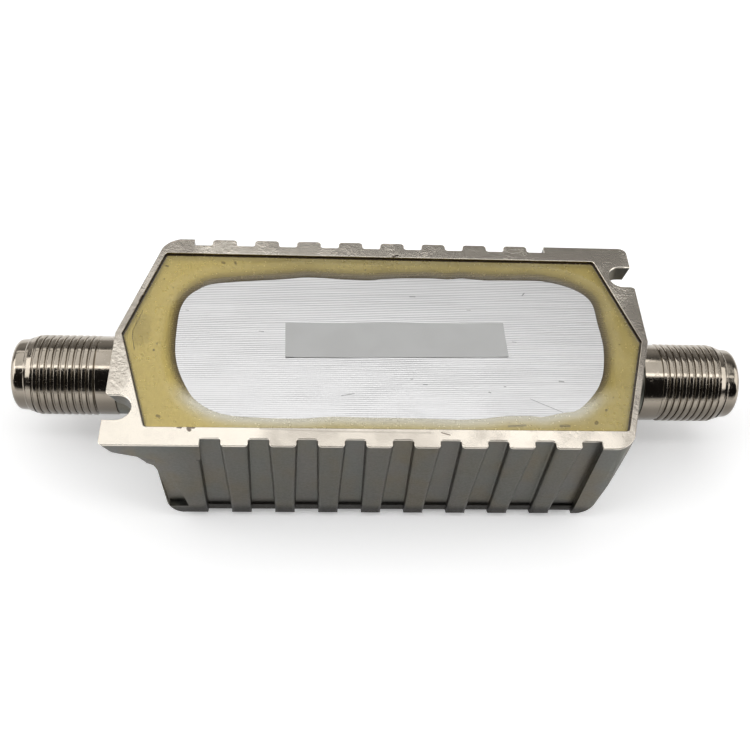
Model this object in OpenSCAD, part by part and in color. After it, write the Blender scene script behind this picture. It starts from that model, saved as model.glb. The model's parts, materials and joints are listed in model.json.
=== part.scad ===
// Sealed in-line television signal amplifier with two screw-on coaxial ports.
// Millimetres. X runs along the ports, Y across the casing, and Z goes up from
// the front face, on which the part rests, to the rim that holds the cover.

/* [Casing] */
// Length of the casing over its two pointed ends
casing_l = 61.8; // [59:0.2:70]
// Width over the ribs at the rim
casing_w = 29.8; // [29:0.2:34]
// Height from the front face to the rim
casing_h = 17.5; // [17:0.5:21]
// How far a slanted end falls back between its middle and the side
end_setback = 4.5; // [3.5:0.25:5.5]
// Lean of the slanted ends, in degrees
end_draft = 4.5; // [2:0.5:5]
// Radius between a slanted end and the front face
end_round = 4.2; // [2:0.2:4.6]
// Lean of the long sides, in degrees
side_draft = 2.8; // [1.5:0.1:3]
// Radius between a long side and the front face
side_round = 1.2; // [0.6:0.1:1.6]
// Radius of the upright corners at the rim
corner_round = 3; // [1.5:0.25:3.5]
// Thickness of the front wall
front_t = 1.8; // [1.4:0.1:2.2]
// Least thickness of the slanted end walls
end_wall = 1.9; // [1.6:0.1:2.4]

/* [Ribs] */
// Number of channels along each long side
channels = 9; // [5:1:9]
// Spacing of the channels
rib_pitch = 5.15; // [4.6:0.05:5.2]
// Width of a channel at the rim
channel_w = 2.15; // [1.6:0.05:2.6]
// Extra width of a channel at its lower end
channel_flare = 0.75; // [0:0.05:1]
// Depth of the channels, which is how far the ribs stand out
rib_out = 0.95; // [0.6:0.05:1.2]
// Shift of the near channels along X, with the far ones shifted the other way
rib_shift = 1.35; // [0.8:0.05:1.6]
// Height of the lip below the channels
lip_h = 2; // [1.6:0.1:3]
// How far the lip stands out from the channels
lip_out = 0.22; // [0.1:0.02:0.4]

/* [Ears] */
// Thickness of an ear at its tip
ear_tip_t = 1.5; // [1:0.1:2]
// Thickness of an ear where it meets the casing
ear_root_t = 3.2; // [2.4:0.1:4]
// Width of the screw slot in an ear
slot_w = 3.2; // [2.6:0.1:3.6]
// Distance of the slot from the middle of the casing
slot_y = 10.1; // [9.4:0.1:10.6]
// Radius of the hollow under an ear
web_r = 6.2; // [5:0.1:7]
// How far the end wall below an ear stands in from the rim
ear_inset = 0.95; // [0.5:0.05:1.2]
// Lean of the end wall below an ear, in degrees
ear_draft = 2; // [1:0.5:4]

/* [Cover] */
// Width of the rim beside the cover on the long sides
rim_w = 1.4; // [1.2:0.05:1.8]
// Width of the rim at the slanted ends, along X
end_rim = 0.77; // [0.6:0.01:1.2]
// Depth of the cover's top below the rim
cover_sink = 1.1; // [0.9:0.05:1.4]
// Thickness of the cover
cover_t = 0.8; // [0.6:0.05:1.2]
// Gap round the cover's edge, filled with resin
cover_gap = 0.3; // [0.2:0.05:0.6]
// Width of the ledge under the cover
ledge_w = 1.2; // [0.9:0.05:1.5]
// Depth of the resin's top below the rim
resin_sink = 0.65; // [0.4:0.05:0.8]
// Width of the resin along the long sides
resin_side = 2.5; // [1.5:0.1:4]
// Width of the resin at the pointed ends
resin_end = 5.4; // [4.5:0.1:7]
// Corner radius of the resin's inner edge
resin_round = 5; // [3:0.25:6]
// Drift of the resin's inner edge along X
resin_drift_x = 0.7; // [0:0.05:0.8]
// Drift of the resin's inner edge towards the near side
resin_drift_y = 0.5; // [0:0.05:0.8]
// Length of the label
label_l = 25.8; // [18:0.2:30]
// Width of the label
label_w = 4.8; // [3:0.1:8]
// Thickness of the label
label_t = 0.15; // [0.1:0.01:0.25]
// Turn of the label on the cover, in degrees
label_turn = 1; // [-3:0.5:3]

/* [Ports] */
// Height of the ports' axis above the front face
port_z = 9.3; // [8.8:0.1:9.8]
// Diameter over the thread crests
thread_d = 9.525; // [9.4:0.025:9.6]
// Pitch of the thread
thread_pitch = 0.79375; // [0.75:0.00625:1]
// Depth of the thread
thread_depth = 0.42; // [0.3:0.02:0.5]
// Number of thread ridges
thread_turns = 10; // [7:1:12]
// Diameter of the plain collar behind the thread
collar_d = 9.4; // [9.2:0.02:9.4]
// Length of the plain collar behind the thread
collar_l = 2.2; // [1.5:0.1:4]
// Length of the rounded nose in front of the thread
nose_l = 1.9; // [1.4:0.1:2.6]
// Diameter of the nose where it starts
nose_d = 8.4; // [8.2:0.1:8.6]
// Radius that rounds the nose
nose_round = 0.7; // [0.4:0.05:0.8]
// Diameter of the shank pressed into the casing
shank_d = 7.6; // [7.2:0.1:8]
// Diameter of the cast boss round the shank
boss_d = 9.2; // [8.8:0.1:10]
// How far the boss stands out past the pointed end
boss_out = 0.4; // [0.3:0.05:1]
// Diameter of the barrel's mouth
mouth_d = 6.4; // [6:0.1:6.6]
// Diameter of the barrel's bore
bore_d = 5.6; // [5.2:0.1:5.8]
// Diameter of the opening in the barrel's rear shoulder
shoulder_d = 4.8; // [4:0.1:5]
// Thickness of the barrel's rear shoulder
shoulder_t = 0.6; // [0.4:0.05:1]
// Thickness of the front insulator
insulator_t = 3.4; // [2.5:0.1:4.5]
// Depth of the front insulator's face inside the mouth
insulator_sink = 0.35; // [0.2:0.05:0.8]
// Diameter of the hole for the cable's centre wire
wire_hole_d = 1.6; // [1.3:0.05:1.8]
// Thickness of the rear bush
bush_t = 3.4; // [2.5:0.1:4.5]
// Outside diameter of the contact's socket
socket_d = 2; // [1.9:0.05:2.4]
// Inside diameter of the contact's socket
socket_bore_d = 1.2; // [0.9:0.05:1.4]
// Length of the slit between the contact's two leaves
slit_l = 5; // [3:0.25:6]
// Width of the slit between the contact's two leaves
slit_w = 0.3; // [0.2:0.05:0.4]
// Diameter of the contact's tail
tail_d = 0.8; // [0.6:0.05:1]
// Clearance between parts that are pushed together
fit_gap = 0.04; // [0.02:0.01:0.08]

/* [Board] */
// Thickness of the circuit board
board_t = 1; // [0.8:0.1:1.6]
// Gap between the board and the long walls
board_side_gap = 0.6; // [0.4:0.1:0.9]
// Gap between the board's corners and the slanted walls
board_end_gap = 2; // [1:0.1:2.4]
// Thickness of the copper
copper_t = 0.07; // [0.05:0.01:0.1]
// Width of the signal line
line_w = 1.8; // [1.2:0.1:2.2]
// Spacing of the parts along the signal line
stage_pitch = 7; // [6:0.1:7.4]
// Diameter of the posts under the board
post_d = 4; // [3.4:0.1:4.6]
// Diameter of the board screws
screw_d = 1.6; // [1.4:0.1:1.8]
// Diameter of the screw heads
head_d = 3.2; // [2.8:0.1:3.6]
// Height of the screw heads
head_h = 1; // [0.8:0.1:1.3]
// Length of the screws below the board
screw_l = 4; // [3:0.25:4.5]
// Length of a chip capacitor or resistor
chip_l = 2; // [1.6:0.1:2.4]
// Width of a chip capacitor or resistor
chip_w = 1.25; // [0.8:0.05:1.6]
// Height of a capacitor
cap_h = 0.9; // [0.6:0.05:1.2]
// Height of a resistor
res_h = 0.55; // [0.4:0.05:0.7]
// Length of the choke's ferrite rod
core_l = 9; // [8:0.25:10]
// Diameter of the choke's ferrite rod
core_d = 2.2; // [1.8:0.1:2.6]
// Diameter of the choke's wire
wire_d = 0.45; // [0.35:0.05:0.5]
// Spacing of the choke's turns
wire_pitch = 1; // [0.95:0.05:1.1]
// Number of full turns on the choke, before the last half turn
wire_turns = 6; // [4:1:6]

/* [Hidden] */
$fn = 96;
big = 200;
half_l = casing_l / 2;
half_w = casing_w / 2;
slope = end_setback / half_w;
end_angle = atan(slope);
side_lean = tan(side_draft);
floor_hw = half_w - rib_out;
corner_x = half_l - end_setback;
corner_over = 0.05;
pocket_x = 1.1;
pocket_w = 2.6;
pocket_drop = 6;
pocket_depth = 0.7;
web_h = 8.4;
web_out = 2.8;
web_edge = 1.2;
row_end = (channels - 1) / 2 * rib_pitch + channel_w / 2;
recess_hw = floor_hw - rim_w;
recess_apex = half_l - end_rim;
plate_hw = recess_hw - cover_gap;
plate_apex = recess_apex - cover_gap / cos(end_angle);
plate_top = casing_h - cover_sink;
seat_z = plate_top - cover_t;
resin_top = casing_h - resin_sink;
cavity_hw = recess_hw - ledge_w;
end_fall = max(casing_h * tan(end_draft), ear_inset + casing_h * tan(ear_draft));
cavity_apex = half_l - end_fall / cos(end_angle) - end_wall;
slot_x = half_l - slope * slot_y + slot_w / 2 / cos(end_angle);
shank_in = cavity_apex - slope * shank_d / 2 - 0.3;
boss_x = half_l + boss_out;
thread_x = boss_x + collar_l;
thread_l = thread_turns * thread_pitch;
nose_x = thread_x + thread_l;
port_end = nose_x + nose_l;
face_x = port_end - insulator_sink;
mouth_x = face_x - insulator_t;
bush_x = shank_in + shoulder_t;
socket_x = bush_x + bush_t;
board_hw = cavity_hw - board_side_gap;
board_hl = cavity_apex - slope * board_hw - board_end_gap;
copper_z = port_z - tail_d / 2;
board_top = copper_z - copper_t;
board_low = board_top - board_t;
post_x = board_hl - post_d / 2 - 1.2;
post_y = board_hw - post_d / 2 - 0.8;
tail_x = board_hl - 2.6;
ground_y = 0.22 * board_hw;
ground_w = 0.2 * board_hw;
rail_y = 0.52 * board_hw;
rail_w = 0.09 * board_hw;
chip_y = (ground_y + ground_w + rail_y) / 2;
outer_y = 0.79 * board_hw;
lead_t = 0.15 * chip_l;
amp_l = 0.36 * stage_pitch;
amp_w = 0.42 * board_hw;
amp_h = 1.45 * cap_h;
amp_reach = 0.12 * stage_pitch;
reg_x = -0.86 * stage_pitch;
reg_l = 0.93 * stage_pitch;
reg_w = 0.3 * board_hw;
reg_h = 1.65 * cap_h;
reg_reach = 0.19 * stage_pitch;
diode_x = 1.07 * stage_pitch;
diode_l = 0.61 * stage_pitch;
diode_w = 0.24 * board_hw;
diode_h = 2.2 * cap_h;
diode_reach = 0.07 * stage_pitch;
coil_r = core_d / 2 + wire_d / 2 + fit_gap;
coil_z = copper_z + coil_r + wire_d;
coil_x = -wire_pitch * (wire_turns + 0.5) / 2;
coil_sides = 8;
coil_rings = 24;

// Six-sided outline with pointed ends, as the casing and the cover have
function pointed(apex, hw) = [
  [apex, 0], [apex - slope * hw, hw], [slope * hw - apex, hw],
  [-apex, 0], [slope * hw - apex, -hw], [apex - slope * hw, -hw]
];

module both_ends() {
  children();
  rotate([0, 0, 180]) children();
}

module along_x() {
  rotate([90, 0, 90])
    linear_extrude(height = big, center = true)
      children();
}

module along_y() {
  rotate([90, 0, 0])
    linear_extrude(height = big, center = true)
      children();
}

module port_turned() {
  translate([0, 0, port_z])
    rotate([0, 90, 0])
      rotate_extrude()
        children();
}

module port_rod(d, x0, x1) {
  translate([x0, 0, port_z])
    rotate([0, 90, 0])
      cylinder(d = d, h = x1 - x0);
}

// Everything inside one slanted end wall, rounded into the front face
module end_keep(inset, draft) {
  lean = tan(draft);
  cx = lean * (end_round - casing_h) - end_round / cos(draft) - inset;
  tx = cx + end_round * cos(draft);
  tz = end_round - end_round * sin(draft);
  translate([half_l, 0, 0])
    rotate([0, 0, end_angle])
      along_y()
        union() {
          polygon([[-big, 0], [cx, 0], [cx, end_round], [tx, tz],
            [lean - inset, casing_h + 1], [-big, casing_h + 1]]);
          translate([cx, end_round]) circle(end_round);
        }
}

// Everything inside the four slanted end walls: two below the ears, two plain
module ends_keep(inset, draft) {
  intersection() {
    end_keep(inset, draft);
    rotate([0, 0, 180]) end_keep(inset, draft);
    mirror([0, 1, 0]) end_keep(0, end_draft);
    mirror([1, 0, 0]) end_keep(0, end_draft);
  }
}

// Cross-section of the casing, hw wide to each side at the rim
module side_profile(hw, low_hw, low_h, r) {
  for (s = [-1, 1]) {
    polygon([[0, 0], [s * (low_hw - r), 0], [s * (low_hw - r), r], [s * low_hw, r],
      [s * low_hw, low_h], [s * (hw - (casing_h - low_h) * side_lean), low_h],
      [s * hw, casing_h], [0, casing_h]]);
    translate([s * (low_hw - r), r]) circle(r);
  }
}

// Side view of what stands out between the channels on the near side
module rib_view() {
  difference() {
    translate([-half_l, 0]) square([casing_l, casing_h]);
    for (i = [0:channels - 1])
      translate([rib_shift + (i - (channels - 1) / 2) * rib_pitch, 0])
        polygon([[-(channel_w + channel_flare) / 2, -1], [(channel_w + channel_flare) / 2, -1],
          [channel_w / 2, casing_h + 1], [-channel_w / 2, casing_h + 1]]);
  }
}

// Shallow pocket in the block under an ear, widest at its lower end
module ear_pocket() {
  top = casing_h - pocket_drop;
  low = lip_h + 1;
  top_y = half_w - pocket_drop * side_lean;
  low_y = half_w - (casing_h - low) * side_lean - pocket_depth;
  intersection() {
    along_y()
      translate([pocket_x - corner_x, 0])
        polygon([[0, top], [0.4, low], [pocket_w, low], [pocket_w / 2, top]]);
    along_x()
      polygon([[-top_y, top], [-low_y, low], [-half_w - 1, low], [-half_w - 1, top]]);
  }
}

// Plan that trims the four upright corners and clears the walls between them
module corner_plan() {
  cy = half_w - corner_round;
  cx = half_l - slope * cy - corner_round / cos(end_angle);
  ox = half_l + 1 / cos(end_angle);
  oy = half_w + 1;
  tx = cx + (corner_round + 1) * cos(end_angle);
  ty = cy + (corner_round + 1) * sin(end_angle);
  for (sx = [-1, 1], sy = [-1, 1])
    scale([sx, sy]) {
      polygon([[0, 0], [ox, 0], [tx, ty], [cx, cy], [cx, oy], [0, oy]]);
      translate([cx, cy]) circle(corner_round + corner_over);
    }
}

module casing_body() {
  rib_low = half_w - (casing_h - side_round) * side_lean;
  lip_hw = floor_hw - (casing_h - lip_h) * side_lean + lip_out;
  intersection() {
    linear_extrude(height = casing_h) corner_plan();
    union() {
      ends_keep(ear_inset, ear_draft);
      intersection() {
        ends_keep(0, end_draft);
        translate([-big / 2, -big / 2, seat_z - 1]) cube(big);
      }
    }
    union() {
      along_x() side_profile(floor_hw, lip_hw, lip_h, side_round);
      both_ends()
        intersection() {
          along_x() side_profile(half_w, rib_low, side_round, side_round);
          along_y() rib_view();
          translate([-half_l, -half_w, 0]) cube([casing_l, half_w, casing_h]);
        }
    }
  }
}

// Flat ear at the near left corner, with the curved web under it
module ear() {
  web_x = corner_x - ear_inset;
  web_z = casing_h - web_h;
  intersection() {
    along_y()
      polygon([[-half_l, casing_h], [0.6 * ear_tip_t - half_l, casing_h - ear_tip_t],
        [-corner_x + 1, casing_h - ear_root_t], [rib_shift - row_end, casing_h - ear_root_t],
        [rib_shift - row_end, casing_h]]);
    along_x()
      polygon([[-half_w, casing_h], [0, casing_h], [0, casing_h - ear_root_t],
        [ear_root_t * side_lean - half_w, casing_h - ear_root_t]]);
  }
  translate([0, web_edge - half_w, 0])
    rotate([90, 0, 0])
      mirror([0, 0, 1])
        linear_extrude(height = half_w - web_edge - slot_y - slot_w / 2)
          difference() {
            translate([-web_x - web_out, web_z]) square([web_out + 0.8, web_h - ear_tip_t]);
            translate([-web_x - web_r, web_z]) circle(web_r);
          }
}

module ear_slot() {
  translate([-slot_x, -slot_y, casing_h - 7]) {
    cylinder(d = slot_w, h = 8);
    translate([-slot_w - 2, -slot_w / 2, 0]) cube([slot_w + 2, slot_w, 8]);
  }
}

module cavity() {
  difference() {
    translate([0, 0, front_t])
      linear_extrude(height = seat_z - front_t + 0.1)
        polygon(pointed(cavity_apex, cavity_hw));
    for (sx = [-1, 1], sy = [-1, 1])
      translate([sx * post_x, sy * post_y, 0])
        cylinder(d = post_d, h = board_low);
  }
}

module casing() {
  color("#b8b4ab")
    difference() {
      union() {
        difference() {
          casing_body();
          both_ends() ear_pocket();
        }
        both_ends() {
          ear();
          port_rod(boss_d, half_l - 4, boss_x);
        }
      }
      translate([0, 0, seat_z])
        linear_extrude(height = casing_h)
          polygon(pointed(recess_apex, recess_hw));
      cavity();
      both_ends() {
        ear_slot();
        port_rod(shank_d + 2 * fit_gap, half_l - 8, half_l + 4);
        translate([post_x, post_y, board_low - screw_l - 0.3])
          cylinder(d = screw_d + 2 * fit_gap, h = screw_l + 1);
      }
    }
}

module cover_plate() {
  color("#d3d3d0")
    translate([0, 0, seat_z])
      linear_extrude(height = cover_t)
        polygon(pointed(plate_apex, plate_hw));
}

module resin_window() {
  wx = 2 * (recess_apex - resin_end) - 2 * resin_round;
  wy = 2 * (recess_hw - resin_side) - 2 * resin_round;
  translate([resin_drift_x, -resin_drift_y]) {
    square([wx + 2 * resin_round, wy], center = true);
    square([wx, wy + 2 * resin_round], center = true);
    for (sx = [-1, 1], sy = [-1, 1])
      translate([sx * wx / 2, sy * wy / 2]) circle(resin_round);
  }
}

module resin_seal() {
  color("#c9b872")
    difference() {
      translate([0, 0, seat_z])
        linear_extrude(height = resin_top - seat_z)
          polygon(pointed(recess_apex, recess_hw));
      translate([0, 0, seat_z - 1])
        linear_extrude(height = plate_top - seat_z + 1)
          polygon(pointed(plate_apex, plate_hw));
      translate([0, 0, plate_top - 0.1])
        linear_extrude(height = casing_h)
          resin_window();
    }
}

module cover_label() {
  color("#dddedd")
    translate([1.3, 0.2, plate_top])
      rotate([0, 0, label_turn])
        translate([-label_l / 2, -label_w / 2, 0])
          cube([label_l, label_w, label_t]);
}

module port_barrel() {
  minor = thread_d / 2 - thread_depth;
  ridge_foot = 0.48 * thread_pitch;
  ridge_crest = 0.19 * thread_pitch;
  port_turned()
    difference() {
      union() {
        translate([0, shank_in]) square([shank_d / 2, boss_x - shank_in + 0.5]);
        translate([0, boss_x]) square([collar_d / 2, collar_l]);
        translate([0, boss_x]) square([minor, nose_x - boss_x]);
        for (i = [0:thread_turns - 1])
          translate([0, thread_x + (i + 0.5) * thread_pitch])
            polygon([[0, -ridge_foot], [minor, -ridge_foot], [thread_d / 2, -ridge_crest],
              [thread_d / 2, ridge_crest], [minor, ridge_foot], [0, ridge_foot]]);
        translate([0, nose_x - 0.1]) square([nose_d / 2, nose_l + 0.1 - nose_round]);
        translate([0, nose_x]) square([nose_d / 2 - nose_round, nose_l]);
        translate([nose_d / 2 - nose_round, port_end - nose_round]) circle(nose_round);
      }
      translate([-1, shank_in - 1]) square([shoulder_d / 2 + 1, big]);
      translate([-1, bush_x]) square([bore_d / 2 + 1, big]);
      translate([-1, mouth_x]) square([mouth_d / 2 + 1, big]);
    }
}

module port_insulator() {
  port_turned()
    translate([wire_hole_d / 2, mouth_x])
      square([mouth_d / 2 - fit_gap - wire_hole_d / 2, insulator_t]);
}

module port_contact() {
  difference() {
    union() {
      port_rod(socket_d, socket_x, mouth_x - fit_gap);
      port_rod(tail_d, tail_x, socket_x + 0.1);
    }
    port_rod(socket_bore_d, socket_x + 1, mouth_x + 1);
    translate([mouth_x - slit_l, -slit_w / 2, port_z - socket_d])
      cube([slit_l + 1, slit_w, 2 * socket_d]);
  }
}

module port_bush() {
  port_turned()
    translate([tail_d / 2 + fit_gap, bush_x])
      square([bore_d / 2 - tail_d / 2 - 2 * fit_gap, bush_t]);
}

module input_port_barrel() {
  color("#c4c2bd") rotate([0, 0, 180]) port_barrel();
}

module output_port_barrel() {
  color("#c4c2bd") port_barrel();
}

module input_port_insulator() {
  color("#e9e6dc") rotate([0, 0, 180]) port_insulator();
}

module output_port_insulator() {
  color("#e9e6dc") port_insulator();
}

module input_port_contact() {
  color("#c9a65a") rotate([0, 0, 180]) port_contact();
}

module output_port_contact() {
  color("#c9a65a") port_contact();
}

module input_port_bush() {
  color("#e4e1d6") rotate([0, 0, 180]) port_bush();
}

module output_port_bush() {
  color("#e4e1d6") port_bush();
}

module circuit_board() {
  color("#2f6b3c")
    difference() {
      translate([-board_hl, -board_hw, board_low]) cube([2 * board_hl, 2 * board_hw, board_t]);
      both_ends()
        translate([post_x, post_y, board_low - 1])
          cylinder(d = screw_d + 4 * fit_gap, h = board_t + 2);
    }
}

// One flat patch of copper between two corners
module patch(x0, x1, y0, y1) {
  translate([x0, y0, board_top]) cube([x1 - x0, y1 - y0, copper_t]);
}

// Pads under the two leads of a part in the outer row
module lead_pads(x, reach) {
  for (s = [-1, 1])
    patch(x + s * reach - chip_l / 4, x + s * reach + chip_l / 4, -outer_y - chip_w, -outer_y + chip_w);
}

module board_copper() {
  gap = chip_l / 2 - 0.6;
  color("#c07a3c") {
    both_ends() {
      patch(2 * stage_pitch + gap, board_hl - 0.4, -line_w / 2, line_w / 2);
      patch(stage_pitch + amp_l / 2, 2 * stage_pitch - gap, -line_w / 2, line_w / 2);
      patch(gap, stage_pitch - amp_l / 2, -line_w / 2, line_w / 2);
      patch(-2 * stage_pitch - 1, 2 * stage_pitch + 1, ground_y, ground_y + ground_w);
      patch(-2 * stage_pitch - 1, 2 * stage_pitch + 1, rail_y, rail_y + rail_w);
    }
    for (s = [-1, 1])
      translate([s * -coil_x, outer_y - s * coil_r, board_top])
        cylinder(d = 3 * wire_d, h = copper_t);
    lead_pads(reg_x, reg_l / 2 + reg_reach);
    lead_pads(diode_x, diode_l / 2 + diode_reach);
  }
}

module board_screws() {
  color("#b9bcc0")
    both_ends()
      translate([post_x, post_y, 0])
        difference() {
          union() {
            translate([0, 0, board_low - screw_l]) cylinder(d = screw_d, h = screw_l + board_t + 0.1);
            translate([0, 0, board_top]) cylinder(d = head_d, h = head_h);
          }
          for (a = [0, 90])
            translate([0, 0, board_top + head_h])
              rotate([0, 0, a])
                cube([0.6 * head_d, 0.4, head_h], center = true);
        }
}

// Solder either side of a contact's tail
module tail_solder() {
  translate([tail_x + 0.3, 0, copper_z])
    rotate([90, 0, 90])
      linear_extrude(height = 2)
        difference() {
          polygon([[-tail_d, 0], [tail_d, 0], [tail_d * 0.6, tail_d * 0.8], [-tail_d * 0.6, tail_d * 0.8]]);
          translate([0, tail_d / 2]) circle(d = tail_d + 2 * fit_gap);
          translate([-tail_d / 2, tail_d / 2]) square(tail_d);
        }
}

module input_solder() {
  color("#c9ccd0") rotate([0, 0, 180]) tail_solder();
}

module output_solder() {
  color("#c9ccd0") tail_solder();
}

// Moulded part whose two flat leads carry it on the copper
module leaded_part(x, y, size, reach) {
  lead_l = size.x + 2 * reach;
  lead_w = 0.36 * size.y;
  translate([x, y, copper_z]) {
    translate([-size.x / 2, -size.y / 2, 0.8 * lead_t]) cube(size);
    translate([-lead_l / 2, -lead_w / 2, 0]) cube([lead_l, lead_w, lead_t]);
  }
}

module first_stage_amplifier() {
  color("#26272a") leaded_part(-stage_pitch, 0, [amp_l, amp_w, amp_h], amp_reach);
}

module second_stage_amplifier() {
  color("#26272a") leaded_part(stage_pitch, 0, [amp_l, amp_w, amp_h], amp_reach);
}

module coupling_capacitor(i) {
  color("#a5855c")
    translate([(i - 2) * 2 * stage_pitch - chip_l / 2, -chip_w / 2, copper_z])
      cube([chip_l, chip_w, cap_h]);
}

module bypass_capacitor(i) {
  color("#b89a70")
    translate([(i - 2.5) * stage_pitch - chip_w / 2, chip_y - chip_l / 2, copper_z])
      cube([chip_w, chip_l, cap_h]);
}

module bias_resistor(i) {
  color("#2c2c2e")
    translate([(i - 2.5) * stage_pitch - chip_w / 2, -chip_y - chip_l / 2, copper_z])
      cube([chip_w, chip_l, res_h]);
}

module choke_core() {
  color("#4a4a4c")
    translate([-core_l / 2, outer_y, coil_z])
      rotate([0, 90, 0])
        cylinder(d = core_d, h = core_l);
}

// Path of the choke's wire: up from one pad, round the rod and down to the other
coil_last = 360 * wire_turns + 180;
coil_path = concat(
  [[coil_x, coil_r, copper_z - coil_z]],
  [for (k = [0:(wire_turns + 0.5) * coil_rings])
    let (a = 360 * k / coil_rings)
      [coil_x + wire_pitch * a / 360, coil_r * cos(a), coil_r * sin(a)]],
  [[-coil_x, -coil_r, copper_z - coil_z]]
);
coil_out = [for (k = [0:len(coil_path) - 1])
  let (a = min(max(360 * (k - 1) / coil_rings, 0), coil_last)) [0, cos(a), sin(a)]];
coil_side = [for (k = [0:len(coil_path) - 1])
  let (t = coil_path[min(k + 1, len(coil_path) - 1)] - coil_path[max(k - 1, 0)])
    cross(t, coil_out[k]) / norm(cross(t, coil_out[k]))];
coil_free = min([for (i = [0:len(coil_path) - 1], j = [i + 1:len(coil_path) - 1])
  if (j - i > coil_rings / 2) norm(coil_path[i] - coil_path[j]) - wire_d]);
echo(str("Least gap of the choke winding to itself, in mm: ", coil_free));

module choke_winding() {
  points = [for (k = [0:len(coil_path) - 1], s = [0:coil_sides - 1])
    let (b = 360 * s / coil_sides)
      coil_path[k] + wire_d / 2 * (cos(b) * coil_out[k] + sin(b) * coil_side[k])];
  last = (len(coil_path) - 1) * coil_sides;
  faces = concat(
    [[for (s = [0:coil_sides - 1]) s]],
    [for (k = [0:len(coil_path) - 2], s = [0:coil_sides - 1])
      let (n = (s + 1) % coil_sides)
        [(k + 1) * coil_sides + s, (k + 1) * coil_sides + n, k * coil_sides + n, k * coil_sides + s]],
    [[for (s = [coil_sides - 1:-1:0]) last + s]]
  );
  color("#b5692f")
    translate([0, outer_y, coil_z])
      polyhedron(points, faces);
}

module voltage_regulator() {
  color("#242527") leaded_part(reg_x, -outer_y, [reg_l, reg_w, reg_h], reg_reach);
}

module protection_diode() {
  color("#2b2b2d") leaded_part(diode_x, -outer_y, [diode_l, diode_w, diode_h], diode_reach);
}

casing();
cover_plate();
resin_seal();
cover_label();
input_port_barrel();
input_port_insulator();
input_port_contact();
input_port_bush();
output_port_barrel();
output_port_insulator();
output_port_contact();
output_port_bush();
circuit_board();
board_copper();
board_screws();
input_solder();
output_solder();
first_stage_amplifier();
second_stage_amplifier();
for (i = [1:3])
  coupling_capacitor(i);
for (i = [1:4])
  bypass_capacitor(i);
for (i = [1:4])
  bias_resistor(i);
choke_core();
choke_winding();
voltage_regulator();
protection_diode();
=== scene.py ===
# %% [markdown]
# A small amplifier for a television aerial lead: a ribbed die-cast box with a threaded port at each
# end, a thin metal cover let into its rim, and yellow resin poured round the cover's edge.
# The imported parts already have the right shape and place. This lesson dresses them: it rounds the
# cast edges, winds a real helix on the ports, pours the resin, and gives each surface its finish.

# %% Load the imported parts
import json
from math import atan2, cos, exp, hypot, pi, radians, sin

import bmesh
import bpy
from mathutils import Matrix, Vector, noise

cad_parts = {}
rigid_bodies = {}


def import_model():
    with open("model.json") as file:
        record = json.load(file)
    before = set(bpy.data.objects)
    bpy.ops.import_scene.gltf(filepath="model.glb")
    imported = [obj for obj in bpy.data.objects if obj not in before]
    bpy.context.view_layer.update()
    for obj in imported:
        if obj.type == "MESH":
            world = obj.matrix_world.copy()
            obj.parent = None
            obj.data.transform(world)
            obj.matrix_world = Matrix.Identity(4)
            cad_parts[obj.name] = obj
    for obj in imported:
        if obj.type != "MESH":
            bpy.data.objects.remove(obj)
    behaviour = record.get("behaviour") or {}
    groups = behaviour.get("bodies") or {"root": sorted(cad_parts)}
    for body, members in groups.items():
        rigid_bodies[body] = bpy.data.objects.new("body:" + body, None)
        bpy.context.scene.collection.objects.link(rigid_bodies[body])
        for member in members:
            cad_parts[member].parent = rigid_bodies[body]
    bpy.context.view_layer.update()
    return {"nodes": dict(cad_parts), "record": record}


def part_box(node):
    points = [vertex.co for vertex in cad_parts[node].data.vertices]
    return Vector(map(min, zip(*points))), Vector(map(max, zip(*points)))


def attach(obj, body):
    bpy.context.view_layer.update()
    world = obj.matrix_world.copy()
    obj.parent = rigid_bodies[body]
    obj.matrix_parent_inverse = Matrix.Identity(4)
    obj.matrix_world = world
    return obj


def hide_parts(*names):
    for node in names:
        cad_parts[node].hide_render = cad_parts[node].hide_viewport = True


MM = 0.001
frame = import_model()
nodes = frame["nodes"]
slot_of = {s["node"]: s["material_slot"] for s in frame["record"]["subparts"]}
scene = bpy.context.scene


# %% [markdown]
# The camera stands close over the near edge and looks steeply down, a little from the left.
# Its place and lens come from matching the rim, ears and ports to the photo, so the strong
# perspective of a close view is right. The roll is real: the box lies slightly turned in the frame.

# %% Camera
RIM_Z = 17.5
EYE = Vector((-8.841, -69.771, 105.797)) * MM
AZIMUTH, ELEVATION, ROLL = radians(-6.528), radians(53.733), radians(6.036)
back = Vector((sin(AZIMUTH) * cos(ELEVATION), -cos(AZIMUTH) * cos(ELEVATION), sin(ELEVATION)))
level = (-back).cross(Vector((0, 0, 1))).normalized()
upright = level.cross(-back)
cam_x = cos(ROLL) * level + sin(ROLL) * upright
cam_y = cos(ROLL) * upright - sin(ROLL) * level
camera_data = bpy.data.cameras.new("photo_camera")
camera_data.sensor_width = 36
camera_data.lens = 46.869
camera_data.clip_start = 0.01
camera = bpy.data.objects.new("photo_camera", camera_data)
camera.matrix_world = Matrix.Translation(EYE) @ Matrix((cam_x, cam_y, back)).transposed().to_4x4()
scene.collection.objects.link(camera)
scene.camera = camera
scene.view_settings.view_transform = "Standard"
print("camera stands", round((EYE - Vector((0, 0, RIM_Z * MM))).length / MM), "mm from the cover")

# %% [markdown]
# Metal shows what is round it, so the light matters as much as the finish. One wide softbox hangs
# overhead and reaches towards the far side, with a brighter tube at its near and far edge: they make
# the bright bands along the ports. A panel on each side keeps the end walls from going black. A lamp is
# set by how bright its face looks, because that is what a mirror shows.

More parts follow.
